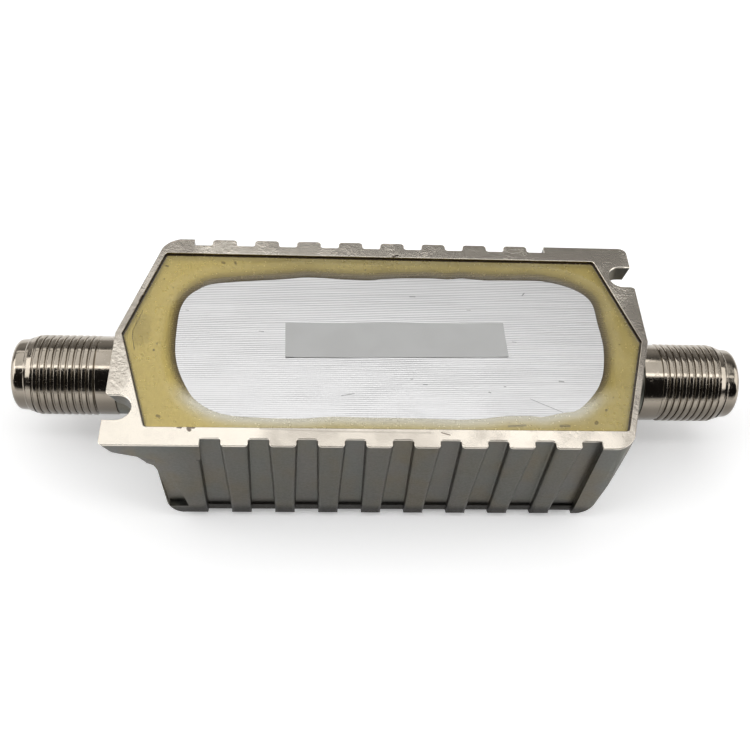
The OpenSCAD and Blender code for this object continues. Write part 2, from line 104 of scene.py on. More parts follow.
# %% Lights
def softbox(name, centre, size, radiance):
    """A rectangular lamp that faces straight down, set by how bright its face looks."""
    lamp = bpy.data.lights.new(name, "AREA")
    lamp.shape = "RECTANGLE"
    lamp.size, lamp.size_y = size
    lamp.energy = radiance * pi * size[0] * size[1]
    held = bpy.data.objects.new(name, lamp)
    held.location = centre
    scene.collection.objects.link(held)
    return held


softbox("wide_softbox", (-0.11, 0.095, 0.45), (0.80, 0.44), 1.08).rotation_euler.z = radians(-6)
softbox("far_tube", (-0.15, 0.363, 0.43), (0.72, 0.075), 1.45).rotation_euler.z = radians(-16.6)
softbox("near_tube", (-0.1, -0.0985, 0.43), (0.8, 0.06), 2.1)
for name, side in (("left_fill", -1), ("right_fill", 1)):
    stand = Vector((side * 0.75, -0.08, 0.45))
    panel = softbox(name, stand, (0.7, 0.7), 2.0)
    panel.rotation_euler = stand.to_track_quat("Z", "Y").to_euler()
print("lamps:", len(bpy.data.lights))

# %% [markdown]
# The room, the floor and every finish are node trees. Writing out each node and link would hide
# what a tree does, so these helpers keep one thought on one line: add a node, do a sum, carry a
# value from one range to another, mix two values or two colours.

# %% Helpers for node trees
def put(tree, kind, inputs=(), **settings):
    """Adds a node, sets its options, and fills or links its inputs."""
    node = tree.nodes.new(kind)
    for key, value in settings.items():
        setattr(node, key, value)
    for key, value in dict(inputs).items():
        if isinstance(value, bpy.types.NodeSocket):
            tree.links.new(value, node.inputs[key])
        else:
            node.inputs[key].default_value = value
    return node


def calc(tree, operation, a, b=0.0, c=0.0, clamp=False):
    """One sum on values; returns its output socket."""
    fields = {0: a, 1: b, 2: c}
    return put(tree, "ShaderNodeMath", fields, operation=operation, use_clamp=clamp).outputs[0]


def times(tree, product, *factors):
    """Multiplies values one after the other; returns the last output socket."""
    for factor in factors:
        product = calc(tree, "MULTIPLY", product, factor)
    return product


def ramp(tree, value, low, high, to_low=0.0, to_high=1.0):
    """Carries a value smoothly from one range to another, held at both ends."""
    fields = {"Value": value, "From Min": low, "From Max": high, "To Min": to_low, "To Max": to_high}
    return put(tree, "ShaderNodeMapRange", fields, interpolation_type="SMOOTHSTEP").outputs["Result"]


def vec(tree, operation, a, b=(0, 0, 0), out="Vector"):
    """One sum on vectors; returns its output socket."""
    return put(tree, "ShaderNodeVectorMath", {0: a, 1: b}, operation=operation).outputs[out]


def scaled(tree, vector, share):
    """A vector made longer or shorter; returns its output socket."""
    return put(tree, "ShaderNodeVectorMath", {0: vector, "Scale": share}, operation="SCALE").outputs["Vector"]


def mix_value(tree, share, first, second):
    """Mixes two values by a share; returns the value socket."""
    return put(tree, "ShaderNodeMix", {0: share, 2: first, 3: second}).outputs[0]


def mix_colour(tree, share, first, second):
    """Mixes two colours by a share; returns the colour socket."""
    pair = [c if isinstance(c, bpy.types.NodeSocket) else (*c, 1) for c in (first, second)]
    return put(tree, "ShaderNodeMix", {0: share, 6: pair[0], 7: pair[1]}, data_type="RGBA").outputs[2]


print("node helpers:", [h.__name__ for h in (put, calc, times, ramp, vec, scaled, mix_value, mix_colour)])

# %% [markdown]
# A room shows in bare metal, so it needs a dark side and a pale one. Walls could be built, but a
# gradient on the direction of the ray costs nothing: dark behind the camera, which gives the black
# band on the ports, grey on the far side, and pale at the horizon, where the floor would run on.

# %% Room
DARK_SIDE, FAR_SIDE, HORIZON = (0.012, 0.011, 0.011), (0.4, 0.39, 0.38), (0.8, 0.8, 0.8)
world = bpy.data.worlds.new("studio_room")
scene.world = world
world.use_nodes = True
sky = world.node_tree
ray = put(sky, "ShaderNodeTexCoord").outputs["Generated"]
heading = put(sky, "ShaderNodeSeparateXYZ", {0: ray}).outputs
far_low = times(sky, ramp(sky, heading["Y"], -0.05, 0.7), ramp(sky, heading["Z"], 0.75, 0.3, 0.3, 1.0))
room = mix_colour(sky, far_low, DARK_SIDE, FAR_SIDE)
room = mix_colour(sky, ramp(sky, heading["Z"], 0.14, 0.03), room, HORIZON)
sky.links.new(room, sky.nodes["Background"].inputs["Color"])
print("room nodes:", len(sky.nodes))

# %% [markdown]
# Effects that come back in several finishes are shader groups with named inputs, built once. The
# first is a fine grain with larger patches: cast skin, plating, plastic and paper all have it in
# their own size. It reads Object coordinates in millimetres, so a grain of 0.2 is 0.2 mm wide.

# %% Fine grain
VEC, NUM = "NodeSocketVector", "NodeSocketFloat"


def effect(name, inputs, *outputs):
    """A shader group that takes a place and named inputs; returns it with its two ends."""
    group = bpy.data.node_groups.new(name, "ShaderNodeTree")
    for label, kind, value in (("Place", VEC, (0, 0, 0)), *inputs):
        group.interface.new_socket(label, in_out="INPUT", socket_type=kind).default_value = value
    for label in outputs:
        group.interface.new_socket(label, in_out="OUTPUT", socket_type=NUM)
    return group, group.nodes.new("NodeGroupInput").outputs, group.nodes.new("NodeGroupOutput").inputs


fine_grain, given, result = effect(
    "fine_grain", (("Grain", NUM, 0.2), ("Patch", NUM, 5.0)), "Height", "Patches")
grit = put(fine_grain, "ShaderNodeTexNoise", {
    "Vector": given["Place"], "Scale": calc(fine_grain, "DIVIDE", 1.0, given["Grain"]),
    "Detail": 3.0, "Roughness": 0.6})
cloud = put(fine_grain, "ShaderNodeTexNoise", {
    "Vector": given["Place"], "Scale": calc(fine_grain, "DIVIDE", 1.0, given["Patch"]), "Detail": 2.0})
fine_grain.links.new(ramp(fine_grain, grit.outputs["Fac"], 0.25, 0.75), result["Height"])
fine_grain.links.new(ramp(fine_grain, cloud.outputs["Fac"], 0.35, 0.65), result["Patches"])
print("fine grain nodes:", len(fine_grain.nodes))

# %% [markdown]
# Handling leaves thin worn lines on plating, and dust leaves dark specks in resin. Both come from
# Voronoi cells: the cells' borders are the lines, and their middles are the specks. A second value
# keeps only a share of them, because wear is never even.

# %% Worn lines and specks
worn_lines, given, result = effect(
    "worn_lines", (("Spacing", NUM, 3.0), ("Width", NUM, 0.02), ("Share", NUM, 0.4)), "Mask")
per_mm = calc(worn_lines, "DIVIDE", 1.0, given["Spacing"])
cells = put(worn_lines, "ShaderNodeTexVoronoi", {"Vector": given["Place"], "Scale": per_mm},
            feature="DISTANCE_TO_EDGE")
kept = put(worn_lines, "ShaderNodeTexNoise", {
    "Vector": given["Place"], "Scale": times(worn_lines, per_mm, 2.3)})
from_border = times(worn_lines, cells.outputs["Distance"], given["Spacing"])
line = calc(worn_lines, "LESS_THAN", from_border, given["Width"])
some = calc(worn_lines, "LESS_THAN", kept.outputs["Fac"], given["Share"])
worn_lines.links.new(times(worn_lines, line, some), result["Mask"])

specks, given, result = effect(
    "specks", (("Spacing", NUM, 1.0), ("Size", NUM, 0.1), ("Share", NUM, 0.3)), "Mask")
dots = put(specks, "ShaderNodeTexVoronoi", {
    "Vector": given["Place"], "Scale": calc(specks, "DIVIDE", 1.0, given["Spacing"])}).outputs
chance = put(specks, "ShaderNodeSeparateColor", {0: dots["Color"]}).outputs
picked = calc(specks, "LESS_THAN", chance["Red"], given["Share"])
dot_size = times(specks, given["Size"], ramp(specks, chance["Green"], 0, 1, 0.4, 1.0))
from_dot = calc(specks, "DIVIDE", times(specks, dots["Distance"], given["Spacing"]), dot_size)
specks.links.new(times(specks, picked, ramp(specks, from_dot, 0.7, 1.1, 1.0, 0.0)), result["Mask"])
print("worn line nodes:", len(worn_lines.nodes), "speck nodes:", len(specks.nodes))

# %% [markdown]
# A nick, a scratch or a stain has one known place. A painted image could hold them, but a stroke
# between two points needs none: it measures how far a place lies from the line, seen from above,
# and fades out at the given width.

# %% Stroke
stroke, given, result = effect(
    "stroke", (("Start", VEC, (0, 0, 0)), ("End", VEC, (1, 0, 0)), ("Width", NUM, 0.1)), "Mask")
flat_place = vec(stroke, "MULTIPLY", given["Place"], (1, 1, 0))
from_start = vec(stroke, "SUBTRACT", flat_place, given["Start"])
along = vec(stroke, "SUBTRACT", given["End"], given["Start"])
share = calc(stroke, "DIVIDE", vec(stroke, "DOT_PRODUCT", from_start, along, "Value"),
             vec(stroke, "DOT_PRODUCT", along, along, "Value"), clamp=True)
sideways = vec(stroke, "SUBTRACT", from_start, scaled(stroke, along, share))
away = calc(stroke, "DIVIDE", vec(stroke, "LENGTH", sideways, out="Value"), given["Width"])
stroke.links.new(ramp(stroke, away, 0.35, 0.65, 1.0, 0.0), result["Mask"])
print("shared effects:", [g.name for g in (fine_grain, worn_lines, specks, stroke)])

# %% [markdown]
# Every finish starts the same way, with a Principled shader and the place on the part in
# millimetres, and ends the same way, with colour, roughness and a bump fed to that shader. What is
# the same all over, such as being metal, is set on the shader itself.

# %% Starting and ending a finish
def start_finish(name):
    """A new material with its tree, its shader and its Object coordinates in millimetres."""
    finish = bpy.data.materials.new(name)
    finish.use_nodes = True
    tree = finish.node_tree
    spot = put(tree, "ShaderNodeTexCoord").outputs["Object"]
    return finish, tree, tree.nodes["Principled BSDF"], scaled(tree, spot, 1 / MM)


def use(tree, group, **inputs):
    """Places a shared effect in a material and returns its outputs."""
    return put(tree, "ShaderNodeGroup", inputs, node_tree=group).outputs


def strokes(tree, place, marks):
    """The union of strokes, each a start x and y, an end x and y, and a width in millimetres."""
    total = None
    for x0, y0, x1, y1, width in marks:
        mask = use(tree, stroke, Place=place, Start=(x0, y0, 0), End=(x1, y1, 0), Width=width)["Mask"]
        total = mask if total is None else calc(tree, "MAXIMUM", total, mask)
    return total


def end_finish(tree, shader, colour, rough, height, depth_mm):
    """Feeds colour, roughness and a relief of the given depth to the shader."""
    bump = put(tree, "ShaderNodeBump", {"Height": height, "Distance": depth_mm * MM, "Strength": 1.0})
    for field, socket in (("Base Color", colour), ("Roughness", rough), ("Normal", bump.outputs["Normal"])):
        tree.links.new(socket, shader.inputs[field])


print("finish helpers:", [h.__name__ for h in (start_finish, use, strokes, end_finish)])

# %% [markdown]
# The floor is plain pale paper, which keeps the part's soft shadow. Its colour alone would come out
# grey, and more lamps would bleach the part. A faint glow makes up the difference: only the camera,
# mirror rays and rays through clear things see it, so it doesn't light the part.

# %% Floor
FLOOR_GLOW, FLOOR_DROP, FLOOR_REACH = 0.32, 0.00005, 2.5


def set_out(name, form, finish=None):
    """Makes an object of a shape that was built point by point."""
    mesh = bpy.data.meshes.new(name)
    form.to_mesh(mesh)
    form.free()
    if finish:
        mesh.materials.append(finish)
    piece = bpy.data.objects.new(name, mesh)
    scene.collection.objects.link(piece)
    return piece


pale_paper, tree, shader, place = start_finish("pale_paper")
paper = use(tree, fine_grain, Place=place, Grain=0.6, Patch=60.0)
paper_colour = mix_colour(tree, paper["Patches"], (0.955, 0.955, 0.955), (0.97, 0.97, 0.97))
tree.links.new(paper_colour, shader.inputs["Base Color"])
shader.inputs["Roughness"].default_value = 0.9
shader.inputs["Specular IOR Level"].default_value = 0.1
path = put(tree, "ShaderNodeLightPath").outputs
seen_ray = calc(tree, "MAXIMUM", path["Is Glossy Ray"], path["Is Transmission Ray"])
seen_ray = calc(tree, "MAXIMUM", path["Is Camera Ray"], seen_ray)
shader.inputs["Emission Color"].default_value = (1, 1, 1, 1)
tree.links.new(times(tree, seen_ray, FLOOR_GLOW), shader.inputs["Emission Strength"])
sheet = bmesh.new()
bmesh.ops.create_grid(sheet, x_segments=2, y_segments=2, size=FLOOR_REACH)
bmesh.ops.translate(sheet, verts=sheet.verts, vec=(0, 0, -FLOOR_DROP))
paper_floor = set_out("paper_floor", sheet, pale_paper)
print("floor faces:", len(paper_floor.data.polygons))

# %% [markdown]
# The casing is die-cast zinc. Its walls keep a dull skin whose grey turns warmer and cooler from
# place to place; that grey is kept dark, partly as painted shade for the dark surroundings they mirror.
# The long sides are darkened further with painted shade, more on the ribs than in the channels, and
# the foot of the walls is painted nearly black as a contact shadow. Height and distance from the
# middle tell where each lies.

# %% Cast walls
WALL_DRAFT = 0.0489
cast_zinc, tree, shader, place = start_finish("cast_zinc")
axes = put(tree, "ShaderNodeSeparateXYZ", {0: place}).outputs
side_x, side_y = (calc(tree, "ABSOLUTE", axes[way]) for way in "XY")
skin = use(tree, fine_grain, Place=place, Grain=0.3, Patch=5.0)
tones = use(tree, fine_grain, Place=vec(tree, "MULTIPLY", place, (1, 1, 0.5)), Grain=1.2, Patch=3.2)
# Partly painted shade: the walls' grey is kept dark to stand for the dark surroundings they mirror.
wall_colour = mix_colour(tree, skin["Patches"], (0.142, 0.138, 0.128), (0.152, 0.135, 0.1))
wall_colour = mix_colour(tree, times(tree, tones["Patches"], 0.6), wall_colour, (0.124, 0.137, 0.13))
below_rim = calc(tree, "SUBTRACT", RIM_Z, axes["Z"])
rib_depth = calc(tree, "MULTIPLY_ADD", below_rim, WALL_DRAFT, side_y)
# Painted shade: the long sides are darkened, more on the ribs than in the channels.
painted_wall_shade = times(tree, ramp(tree, side_x, 29.0, 20.0), ramp(tree, rib_depth, 14.3, 14.7, 0.34, 0.52))
wall_colour = mix_colour(tree, painted_wall_shade, wall_colour, (0.06, 0.052, 0.038))
# Painted shadow: the foot of the walls is darkened nearly to black, as a contact shadow.
foot = times(tree, ramp(tree, axes["Z"], 3.6, 1.9), ramp(tree, axes["Z"], 0.0, 0.3), 0.9)
wall_colour = mix_colour(tree, foot, wall_colour, (0.026, 0.024, 0.022))
print("cast zinc nodes for the walls:", len(tree.nodes))

# %% [markdown]
# The rim was ground flat for the cover, so it is paler and smoother than the walls, with rough skin
# left at one pointed end. It is the same metal, so it stays one material, and height tells the rim
# from the walls. Strokes put darker patches at the near side and both ends, a grey strip painted
# along the near inner edge as the shade of its chamfer, and the chips where the photo has them.

# %% Ground rim
RIM_DARKER_PATCHES = [(-9.0, -14.0, 24.0, -14.0, 9.0), (-29.5, 4.4, -27.0, 15.0, 10.0),
               (27.0, -10.0, 31.0, 0.0, 12.0)]
RIM_DARKEST_PATCHES = [(28.5, -9.0, 31.0, -1.0, 9.0)]
NEAR_RIM_EDGE_SHADE = [(-14.0, -12.7, -7.7, -12.95, 0.18), (-7.7, -12.95, 4.3, -13.05, 0.22)]
RIM_CHIPS = [(-21.6, -12.62, -21.05, -12.62, 0.36), (-21.58, -12.78, -21.46, -12.96, 0.42),
             (-22.7, -12.6, -22.4, -12.64, 0.3), (5.5, -13.0, 6.4, -13.3, 0.14),
             (1.3, 12.7, 1.8, 12.85, 0.3), (-28.42, 5.6, -28.62, 4.9, 0.3)]
rim = ramp(tree, axes["Z"], 17.2, 17.42)
pits = use(tree, fine_grain, Place=place, Grain=0.42, Patch=2.4)
end_reach = calc(tree, "MULTIPLY_ADD", side_y, -0.12, side_x)
rough_end = times(tree, ramp(tree, end_reach, 27.0, 28.6), ramp(tree, side_y, 7.0, 9.5, 1.0, 0.0),
                  ramp(tree, axes["X"], -10.0, -20.0))
rough_skin = times(tree, calc(tree, "MAXIMUM", rough_end, times(tree, pits["Patches"], 0.2)), rim)
skin_share = times(tree, rough_skin, pits["Height"])
rim_colour = mix_colour(tree, skin_share, (0.86, 0.80, 0.70), (0.66, 0.6, 0.52))
# Darker patches on the rim at the near side and both ends, strongest at the right end.
darker_rim_patches = times(tree, strokes(tree, place, RIM_DARKER_PATCHES), ramp(tree, skin["Patches"], 0, 1, 0.5, 0.75))
heavy = times(tree, strokes(tree, place, RIM_DARKEST_PATCHES), ramp(tree, skin["Patches"], 0, 1, 0.75, 0.95))
rim_colour = mix_colour(tree, calc(tree, "MAXIMUM", darker_rim_patches, heavy), rim_colour, (0.43, 0.39, 0.34))
cast_colour = mix_colour(tree, rim, wall_colour, rim_colour)
# Painted shade: a grey strip along the near rim's inner edge stands for the shade of its chamfer.
painted_rim_edge_shade = times(tree, strokes(tree, place, NEAR_RIM_EDGE_SHADE), rim, 0.6)
cast_colour = mix_colour(tree, painted_rim_edge_shade, cast_colour, (0.4, 0.37, 0.32))
chips = times(tree, strokes(tree, place, RIM_CHIPS), rim)
cast_colour = mix_colour(tree, chips, cast_colour, (0.2, 0.17, 0.14))
print("cast zinc nodes with the rim:", len(tree.nodes))

# %% [markdown]
# The wall of the recess shows as a thin dark gap round the resin, painted dark for the shade in the
# gap and the dirt that stays in it, and a crease crosses the rim at the right ear, painted darker as a
# line of shade. Both are coloured here. Then the relief is joined: coarse skin on the walls, a fine
# ground grain on the rim, pits at the rough end.

# %% Recess and relief of the casting
SLOPE, RECESS_REACH, RECESS_SIDE, RECESS_FLOOR = 4.5 / 14.9, 30.2, 12.6, 15.3
RIM_CREASE = [(28.1, 7.35, 30.2, 7.25, 0.2)]
reach = calc(tree, "MULTIPLY_ADD", side_y, SLOPE, side_x)
in_recess = times(tree, calc(tree, "LESS_THAN", reach, RECESS_REACH),
                  calc(tree, "LESS_THAN", side_y, RECESS_SIDE),
                  calc(tree, "GREATER_THAN", axes["Z"], RECESS_FLOOR))
# Painted shade and dirt: the recess wall above the seat is darkened to a thin dark brown gap.
gap_shade_and_dirt = times(tree, in_recess, ramp(tree, axes["Z"], 17.36, 17.44, 1.0, 0.0))
crease = strokes(tree, place, RIM_CREASE)
# Painted shade: the crease is darkened as a line, besides its relief below.
cast_colour = mix_colour(tree, times(tree, crease, 0.4), cast_colour, (0.3, 0.27, 0.23))
cast_colour = mix_colour(tree, gap_shade_and_dirt, cast_colour, (0.055, 0.04, 0.027))
wall_rough, rim_rough = ramp(tree, skin["Height"], 0, 1, 0.38, 0.48), ramp(tree, rough_skin, 0, 1, 0.18, 0.34)
ground = use(tree, fine_grain, Place=place, Grain=0.15, Patch=1.6)
relief = mix_value(tree, rim, times(tree, skin["Height"], 0.2), times(tree, ground["Height"], 0.06))
relief = calc(tree, "ADD", relief, times(tree, pits["Height"], rough_skin, 1.5))
relief = calc(tree, "MULTIPLY_ADD", crease, 1.2, relief)
shader.inputs["Metallic"].default_value = 1.0
end_finish(tree, shader, cast_colour, mix_value(tree, rim, wall_rough, rim_rough), relief, 0.03)
print("cast zinc nodes in all:", len(tree.nodes))

# %% [markdown]
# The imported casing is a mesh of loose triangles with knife-sharp edges, and a casting has neither.
# To round it, its triangles are first joined into flat faces. The rim is a ring, and one face can't
# hold a hole, so two short cuts across it are marked as seams, and the joining keeps those.

# %% Joining the casing's triangles
RIM_FACE = 17.45
RIM_SEAMS = ((3.925, -1), (1.225, 1))
form = bmesh.new()
form.from_mesh(nodes["casing"].data)
bmesh.ops.remove_doubles(form, verts=form.verts, dist=2e-6)
for x, side in RIM_SEAMS:
    strip = [f for f in form.faces if all(v.co.z > RIM_FACE * MM and v.co.y * side > 0 for v in f.verts)]
    around = list(dict.fromkeys(g for f in strip for g in (f, *f.verts, *f.edges)))
    cut = bmesh.ops.bisect_plane(form, geom=around, plane_co=(x * MM, 0, 0), plane_no=(1, 0, 0), dist=1e-7)
    for edge in cut["geom_cut"]:
        if isinstance(edge, bmesh.types.BMEdge):
            edge.seam = True
bmesh.ops.dissolve_limit(form, angle_limit=radians(0.4), verts=form.verts, edges=form.edges, delimit={"SEAM"})
print("casing faces after joining:", len(form.faces))

# %% [markdown]
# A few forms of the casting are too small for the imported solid. The far wall of each ear's slot
# ends level, the feet of the ribs draw in, the web under an ear swells a little, and the ledge at
# an ear's root stands a tenth further out. Moving points is enough for that. Both ears are alike,
# turned half round, so one rule serves both.

# %% Small forms of the casting
LIP_IN, LIP_ROUND, FOOT_TOP, FOOT_IN = 12.55, 1.2, 2.4, 0.5
SLOT_END_Z, WEB_LOW, WEB_HEIGHT, WEB_SWELL = 15.2, 9.2, 6.7, 0.5
EAR_LEDGE_Z, EAR_LEDGE_OUT = 14.3, 0.1


def lip_reach(z):
    """How far out the lip below the channels reaches; what lies further out is a rib's foot."""
    return LIP_IN + (LIP_ROUND ** 2 - max(0, LIP_ROUND - z) ** 2) ** 0.5


for vert in form.verts:
    spot = vert.co / MM
    turn = 1 if spot.x > 0 else -1
    if turn * spot.x > 28 and 10.9 < turn * spot.y < 11.75 and 15 < spot.z < 16.3:
        spot.x += turn * 0.38 * max(0, turn * spot.x - 29.2)
        spot.z = SLOT_END_Z
    low_side = spot.z < FOOT_TOP and abs(spot.y) > 11
    if low_side and (abs(spot.x) > 23.6 or abs(spot.y) > lip_reach(spot.z)):
        spot.y -= (FOOT_IN if spot.y > 0 else -FOOT_IN) * (1 - spot.z / FOOT_TOP) ** 2
    out_at_ear = turn * spot.y > 11 and turn * spot.x + SLOPE * turn * spot.y > RECESS_REACH
    if WEB_LOW < spot.z < WEB_LOW + WEB_HEIGHT and out_at_ear:
        spot.x += turn * WEB_SWELL * sin(pi * (spot.z - WEB_LOW) / WEB_HEIGHT)
    if abs(spot.z - EAR_LEDGE_Z) < 0.05 and 19.8 < turn * spot.x < 20.8 and turn * spot.y > 12.5:
        spot.x += turn * EAR_LEDGE_OUT
    vert.co = spot * MM
print("lip reaches", lip_reach(0), "to", lip_reach(LIP_ROUND), "mm from the middle")

# %% [markdown]
# The rounding differs from edge to edge: wide at an ear's tip, medium on the ribs, small in the
# channels, and a hair on the rim. So each edge gets its width from where it lies and how it runs.
# Edges out of sight, inside the box and under the ears, stay sharp.

# %% Which edges are rounded
EAR_TIP, EAR_CORNER, RIB_EDGE, CHANNEL = 0.85, 0.4, 0.44, 0.28
RIM_EDGE, PORT_SEAT, FINE_EDGE, WIDEST = 0.1, 0.12, 0.08, 0.15
PORT_Z = 9.3


def look_at(edge):
    """Where an edge lies and runs, in millimetres, if it is sharp and in sight; else nothing."""
    if len(edge.link_faces) != 2 or edge.calc_face_angle(0) < radians(24):
        return None
    mid = (edge.verts[0].co + edge.verts[1].co) / 2 / MM
    run = (edge.verts[1].co - edge.verts[0].co).normalized()
    reach = abs(mid.x) + SLOPE * abs(mid.y)
    inside = 0.5 < mid.z < 17 and abs(mid.y) < RECESS_SIDE and reach < 28.6
    seat_edge = 15 < mid.z < 16 and reach < 30.3
    ear_root = abs(run.z) > 0.7 and abs(mid.x) < 22.6
    under_ear = abs(mid.x) > 21 and abs(mid.y) > 9 and mid.z < 16.4 and not ear_root
    return None if inside or seat_edge or under_ear else (mid, run, reach)


def upright_round(edge):
    """Rounding of the upright edges: ears, ribs and channels."""
    seen = look_at(edge)
    if seen is None or seen[0].z > RIM_FACE:
        return 0
    mid, run, reach = seen
    if abs(run.z) < 0.7 or mid.z < (0.9 if edge.is_convex else 2.05) or abs(mid.y) < 5:
        return 0
    if abs(mid.x) > 29 and abs(mid.y) > 11:
        return EAR_TIP if mid.x > 0 and mid.y > 12 else EAR_CORNER
    return RIB_EDGE if edge.is_convex else CHANNEL


def level_round(edge):
    """Rounding of the level edges: rim, recess, lip and port seat."""
    seen = look_at(edge)
    if seen is None:
        return 0
    mid, run, reach = seen
    if mid.z > RIM_FACE:
        return FINE_EDGE if abs(mid.y) < RECESS_SIDE and reach < RECESS_REACH else RIM_EDGE
    if hypot(mid.y, mid.z - PORT_Z) < 4.8 and abs(mid.x) > 28:
        return PORT_SEAT
    return 0 if abs(run.z) > 0.4 or mid.z < 0.5 else FINE_EDGE


print("upright edges to round:", sum(1 for edge in form.edges if upright_round(edge) > 0))

# %% [markdown]
# A bevel that takes all edges at once gets into trouble where a wide one meets a small one. So the
# upright edges are rounded first, in the mesh, one width after the other. The level edges follow in
# a Bevel modifier, where a weight on each edge gives its share of the widest rounding.

# %% Rounded casing
rounded = 0
for width in (EAR_TIP, EAR_CORNER, RIB_EDGE, CHANNEL):
    chosen = [edge for edge in form.edges if upright_round(edge) == width]
    rounded += len(chosen)
    bmesh.ops.bevel(form, geom=chosen, offset=width * MM, offset_type="OFFSET", segments=4, profile=0.5,
                    affect="EDGES", clamp_overlap=False)
weights = form.edges.layers.float.new("bevel_weight_edge")
for edge in form.edges:
    edge[weights] = level_round(edge) / WIDEST
rounded += sum(1 for edge in form.edges if edge[weights] > 0)
casing_dressed = set_out("casing_dressed", form, cast_zinc)
bevel = casing_dressed.modifiers.new("cast_edges", "BEVEL")
bevel.limit_method = "WEIGHT"
bevel.width = WIDEST * MM
bevel.segments = 3
bevel.use_clamp_overlap = False
print("casing edges rounded:", rounded)

# %% [markdown]
# A modifier's result is kept as a plain mesh, so the mesh holds what is seen. Shading is
# smooth but for edges above 35 degrees. Weighted normals then let the large flat faces win over the
# narrow rounded ones, which keeps the walls flat and lets the roundings flow.

# %% Keeping a modifier's result
def take_mesh(piece):
    """Swaps a piece's mesh for what its modifiers make of it, and clears them."""
    bpy.context.view_layer.update()
    made = piece.evaluated_get(bpy.context.evaluated_depsgraph_get())
    plain = bpy.data.meshes.new_from_object(made)
    piece.modifiers.clear()
    piece.data = plain


def keep_result(piece, sharp=35, weigh=False):
    """Keeps the modifiers' result and shades it, with weighted normals if asked."""
    take_mesh(piece)
    piece.data.shade_smooth()
    piece.data.set_sharp_from_angle(angle=radians(sharp))
    if weigh:
        even = piece.modifiers.new("even_normals", "WEIGHTED_NORMAL")
        even.keep_sharp = True
        even.weight = 90
        take_mesh(piece)


def seat(piece, node):
    """Hides the CAD node a finished piece replaces and puts the piece on the root body."""
    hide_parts(node)
    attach(piece, "root")


keep_result(casing_dressed, weigh=True)
seat(casing_dressed, "casing")
print("casing faces:", len(casing_dressed.data.polygons))

# %% [markdown]
# Each port is turned brass with bright nickel, so it mirrors the lamps in narrow bands. The plating
# is a little patchy and has fine rubs, the thread's grooves are darker, and the lower half is painted
# dark brown, a painted shade for the dark surroundings it mirrors. How far a place lies below the
# crests tells the grooves, with no extra piece.

# %% Bright nickel finish
CREST_R, CONE_X, CONE_FALL = 4.7625, 40.5, 0.31
bright_nickel, tree, shader, place = start_finish("bright_nickel")
axes = put(tree, "ShaderNodeSeparateXYZ", {0: place}).outputs
above_axis = calc(tree, "SUBTRACT", axes["Z"], PORT_Z)
across = put(tree, "ShaderNodeCombineXYZ", {"Y": axes["Y"], "Z": above_axis}).outputs[0]
radius = vec(tree, "LENGTH", across, out="Value")
along_port = calc(tree, "ABSOLUTE", axes["X"])
threaded = times(tree, ramp(tree, along_port, 33.4, 33.6), ramp(tree, along_port, 41.65, 41.75, 1.0, 0.0))
into_cone = calc(tree, "MAXIMUM", 0.0, calc(tree, "SUBTRACT", along_port, CONE_X))
crest = calc(tree, "MULTIPLY_ADD", into_cone, -CONE_FALL, CREST_R)
groove = times(tree, ramp(tree, calc(tree, "SUBTRACT", crest, radius), 0.05, 0.17), threaded)
plating = use(tree, fine_grain, Place=place, Grain=0.35, Patch=2.6)
rubs = use(tree, worn_lines, Place=place, Spacing=1.6, Width=0.03, Share=0.45)["Mask"]
nickel = mix_colour(tree, plating["Patches"], (0.41, 0.365, 0.305), (0.355, 0.315, 0.26))
# Painted shade: the lower half is darkened towards brown, standing for the dark surroundings it mirrors.
painted_underside_shade = times(tree, ramp(tree, above_axis, 2.6, 0.6), 0.85)
nickel = mix_colour(tree, painted_underside_shade, nickel, (0.13, 0.114, 0.094))
nickel = mix_colour(tree, times(tree, groove, 0.25), nickel, (0.15, 0.125, 0.1))
rough = calc(tree, "MULTIPLY_ADD", rubs, 0.12, ramp(tree, plating["Height"], 0, 1, 0.1, 0.16))
rough = calc(tree, "MULTIPLY_ADD", groove, 0.08, rough)
shader.inputs["Metallic"].default_value = 1.0
end_finish(tree, shader, nickel, rough, calc(tree, "SUBTRACT", plating["Height"], rubs), 0.0012)
print("bright nickel nodes:", len(tree.nodes))

# %% [markdown]
# A port's core is a turned piece: a shank in the casing, a collar, the thread's root, and a level
# nose with a rounded lip. A lathe turns an outline, so this does too: the outline is a list of
# radius and length, and the bore is part of it, so the piece comes out closed.

# %% Turned core
COLLAR_X, THREAD_X, CUT_X, NOSE_X = 31.3, 33.5, 41.55, 41.66
BORE_R, SHANK_R, COLLAR_R, ROOT_R, NOSE_R, LIP_R, MOUTH_R = 2.4, 3.8, 4.7, 4.56, 4.25, 4.22, 3.2


def lathe(outline, steps=96):
    """Revolves a closed outline of (radius, x) in millimetres about the ports' axis."""
    turned = bmesh.new()
    rings = []
    for r, x in outline:
        spots = [(x, r * sin(2 * pi * k / steps), PORT_Z + r * cos(2 * pi * k / steps)) for k in range(steps)]
        rings.append([turned.verts.new([c * MM for c in spot]) for spot in spots])
    for here, after in zip(rings, rings[1:] + rings[:1]):
        for k in range(steps):
            turned.faces.new((here[k], here[(k + 1) % steps], after[(k + 1) % steps], after[k]))
    bmesh.ops.recalc_face_normals(turned, faces=turned.faces)
    return turned


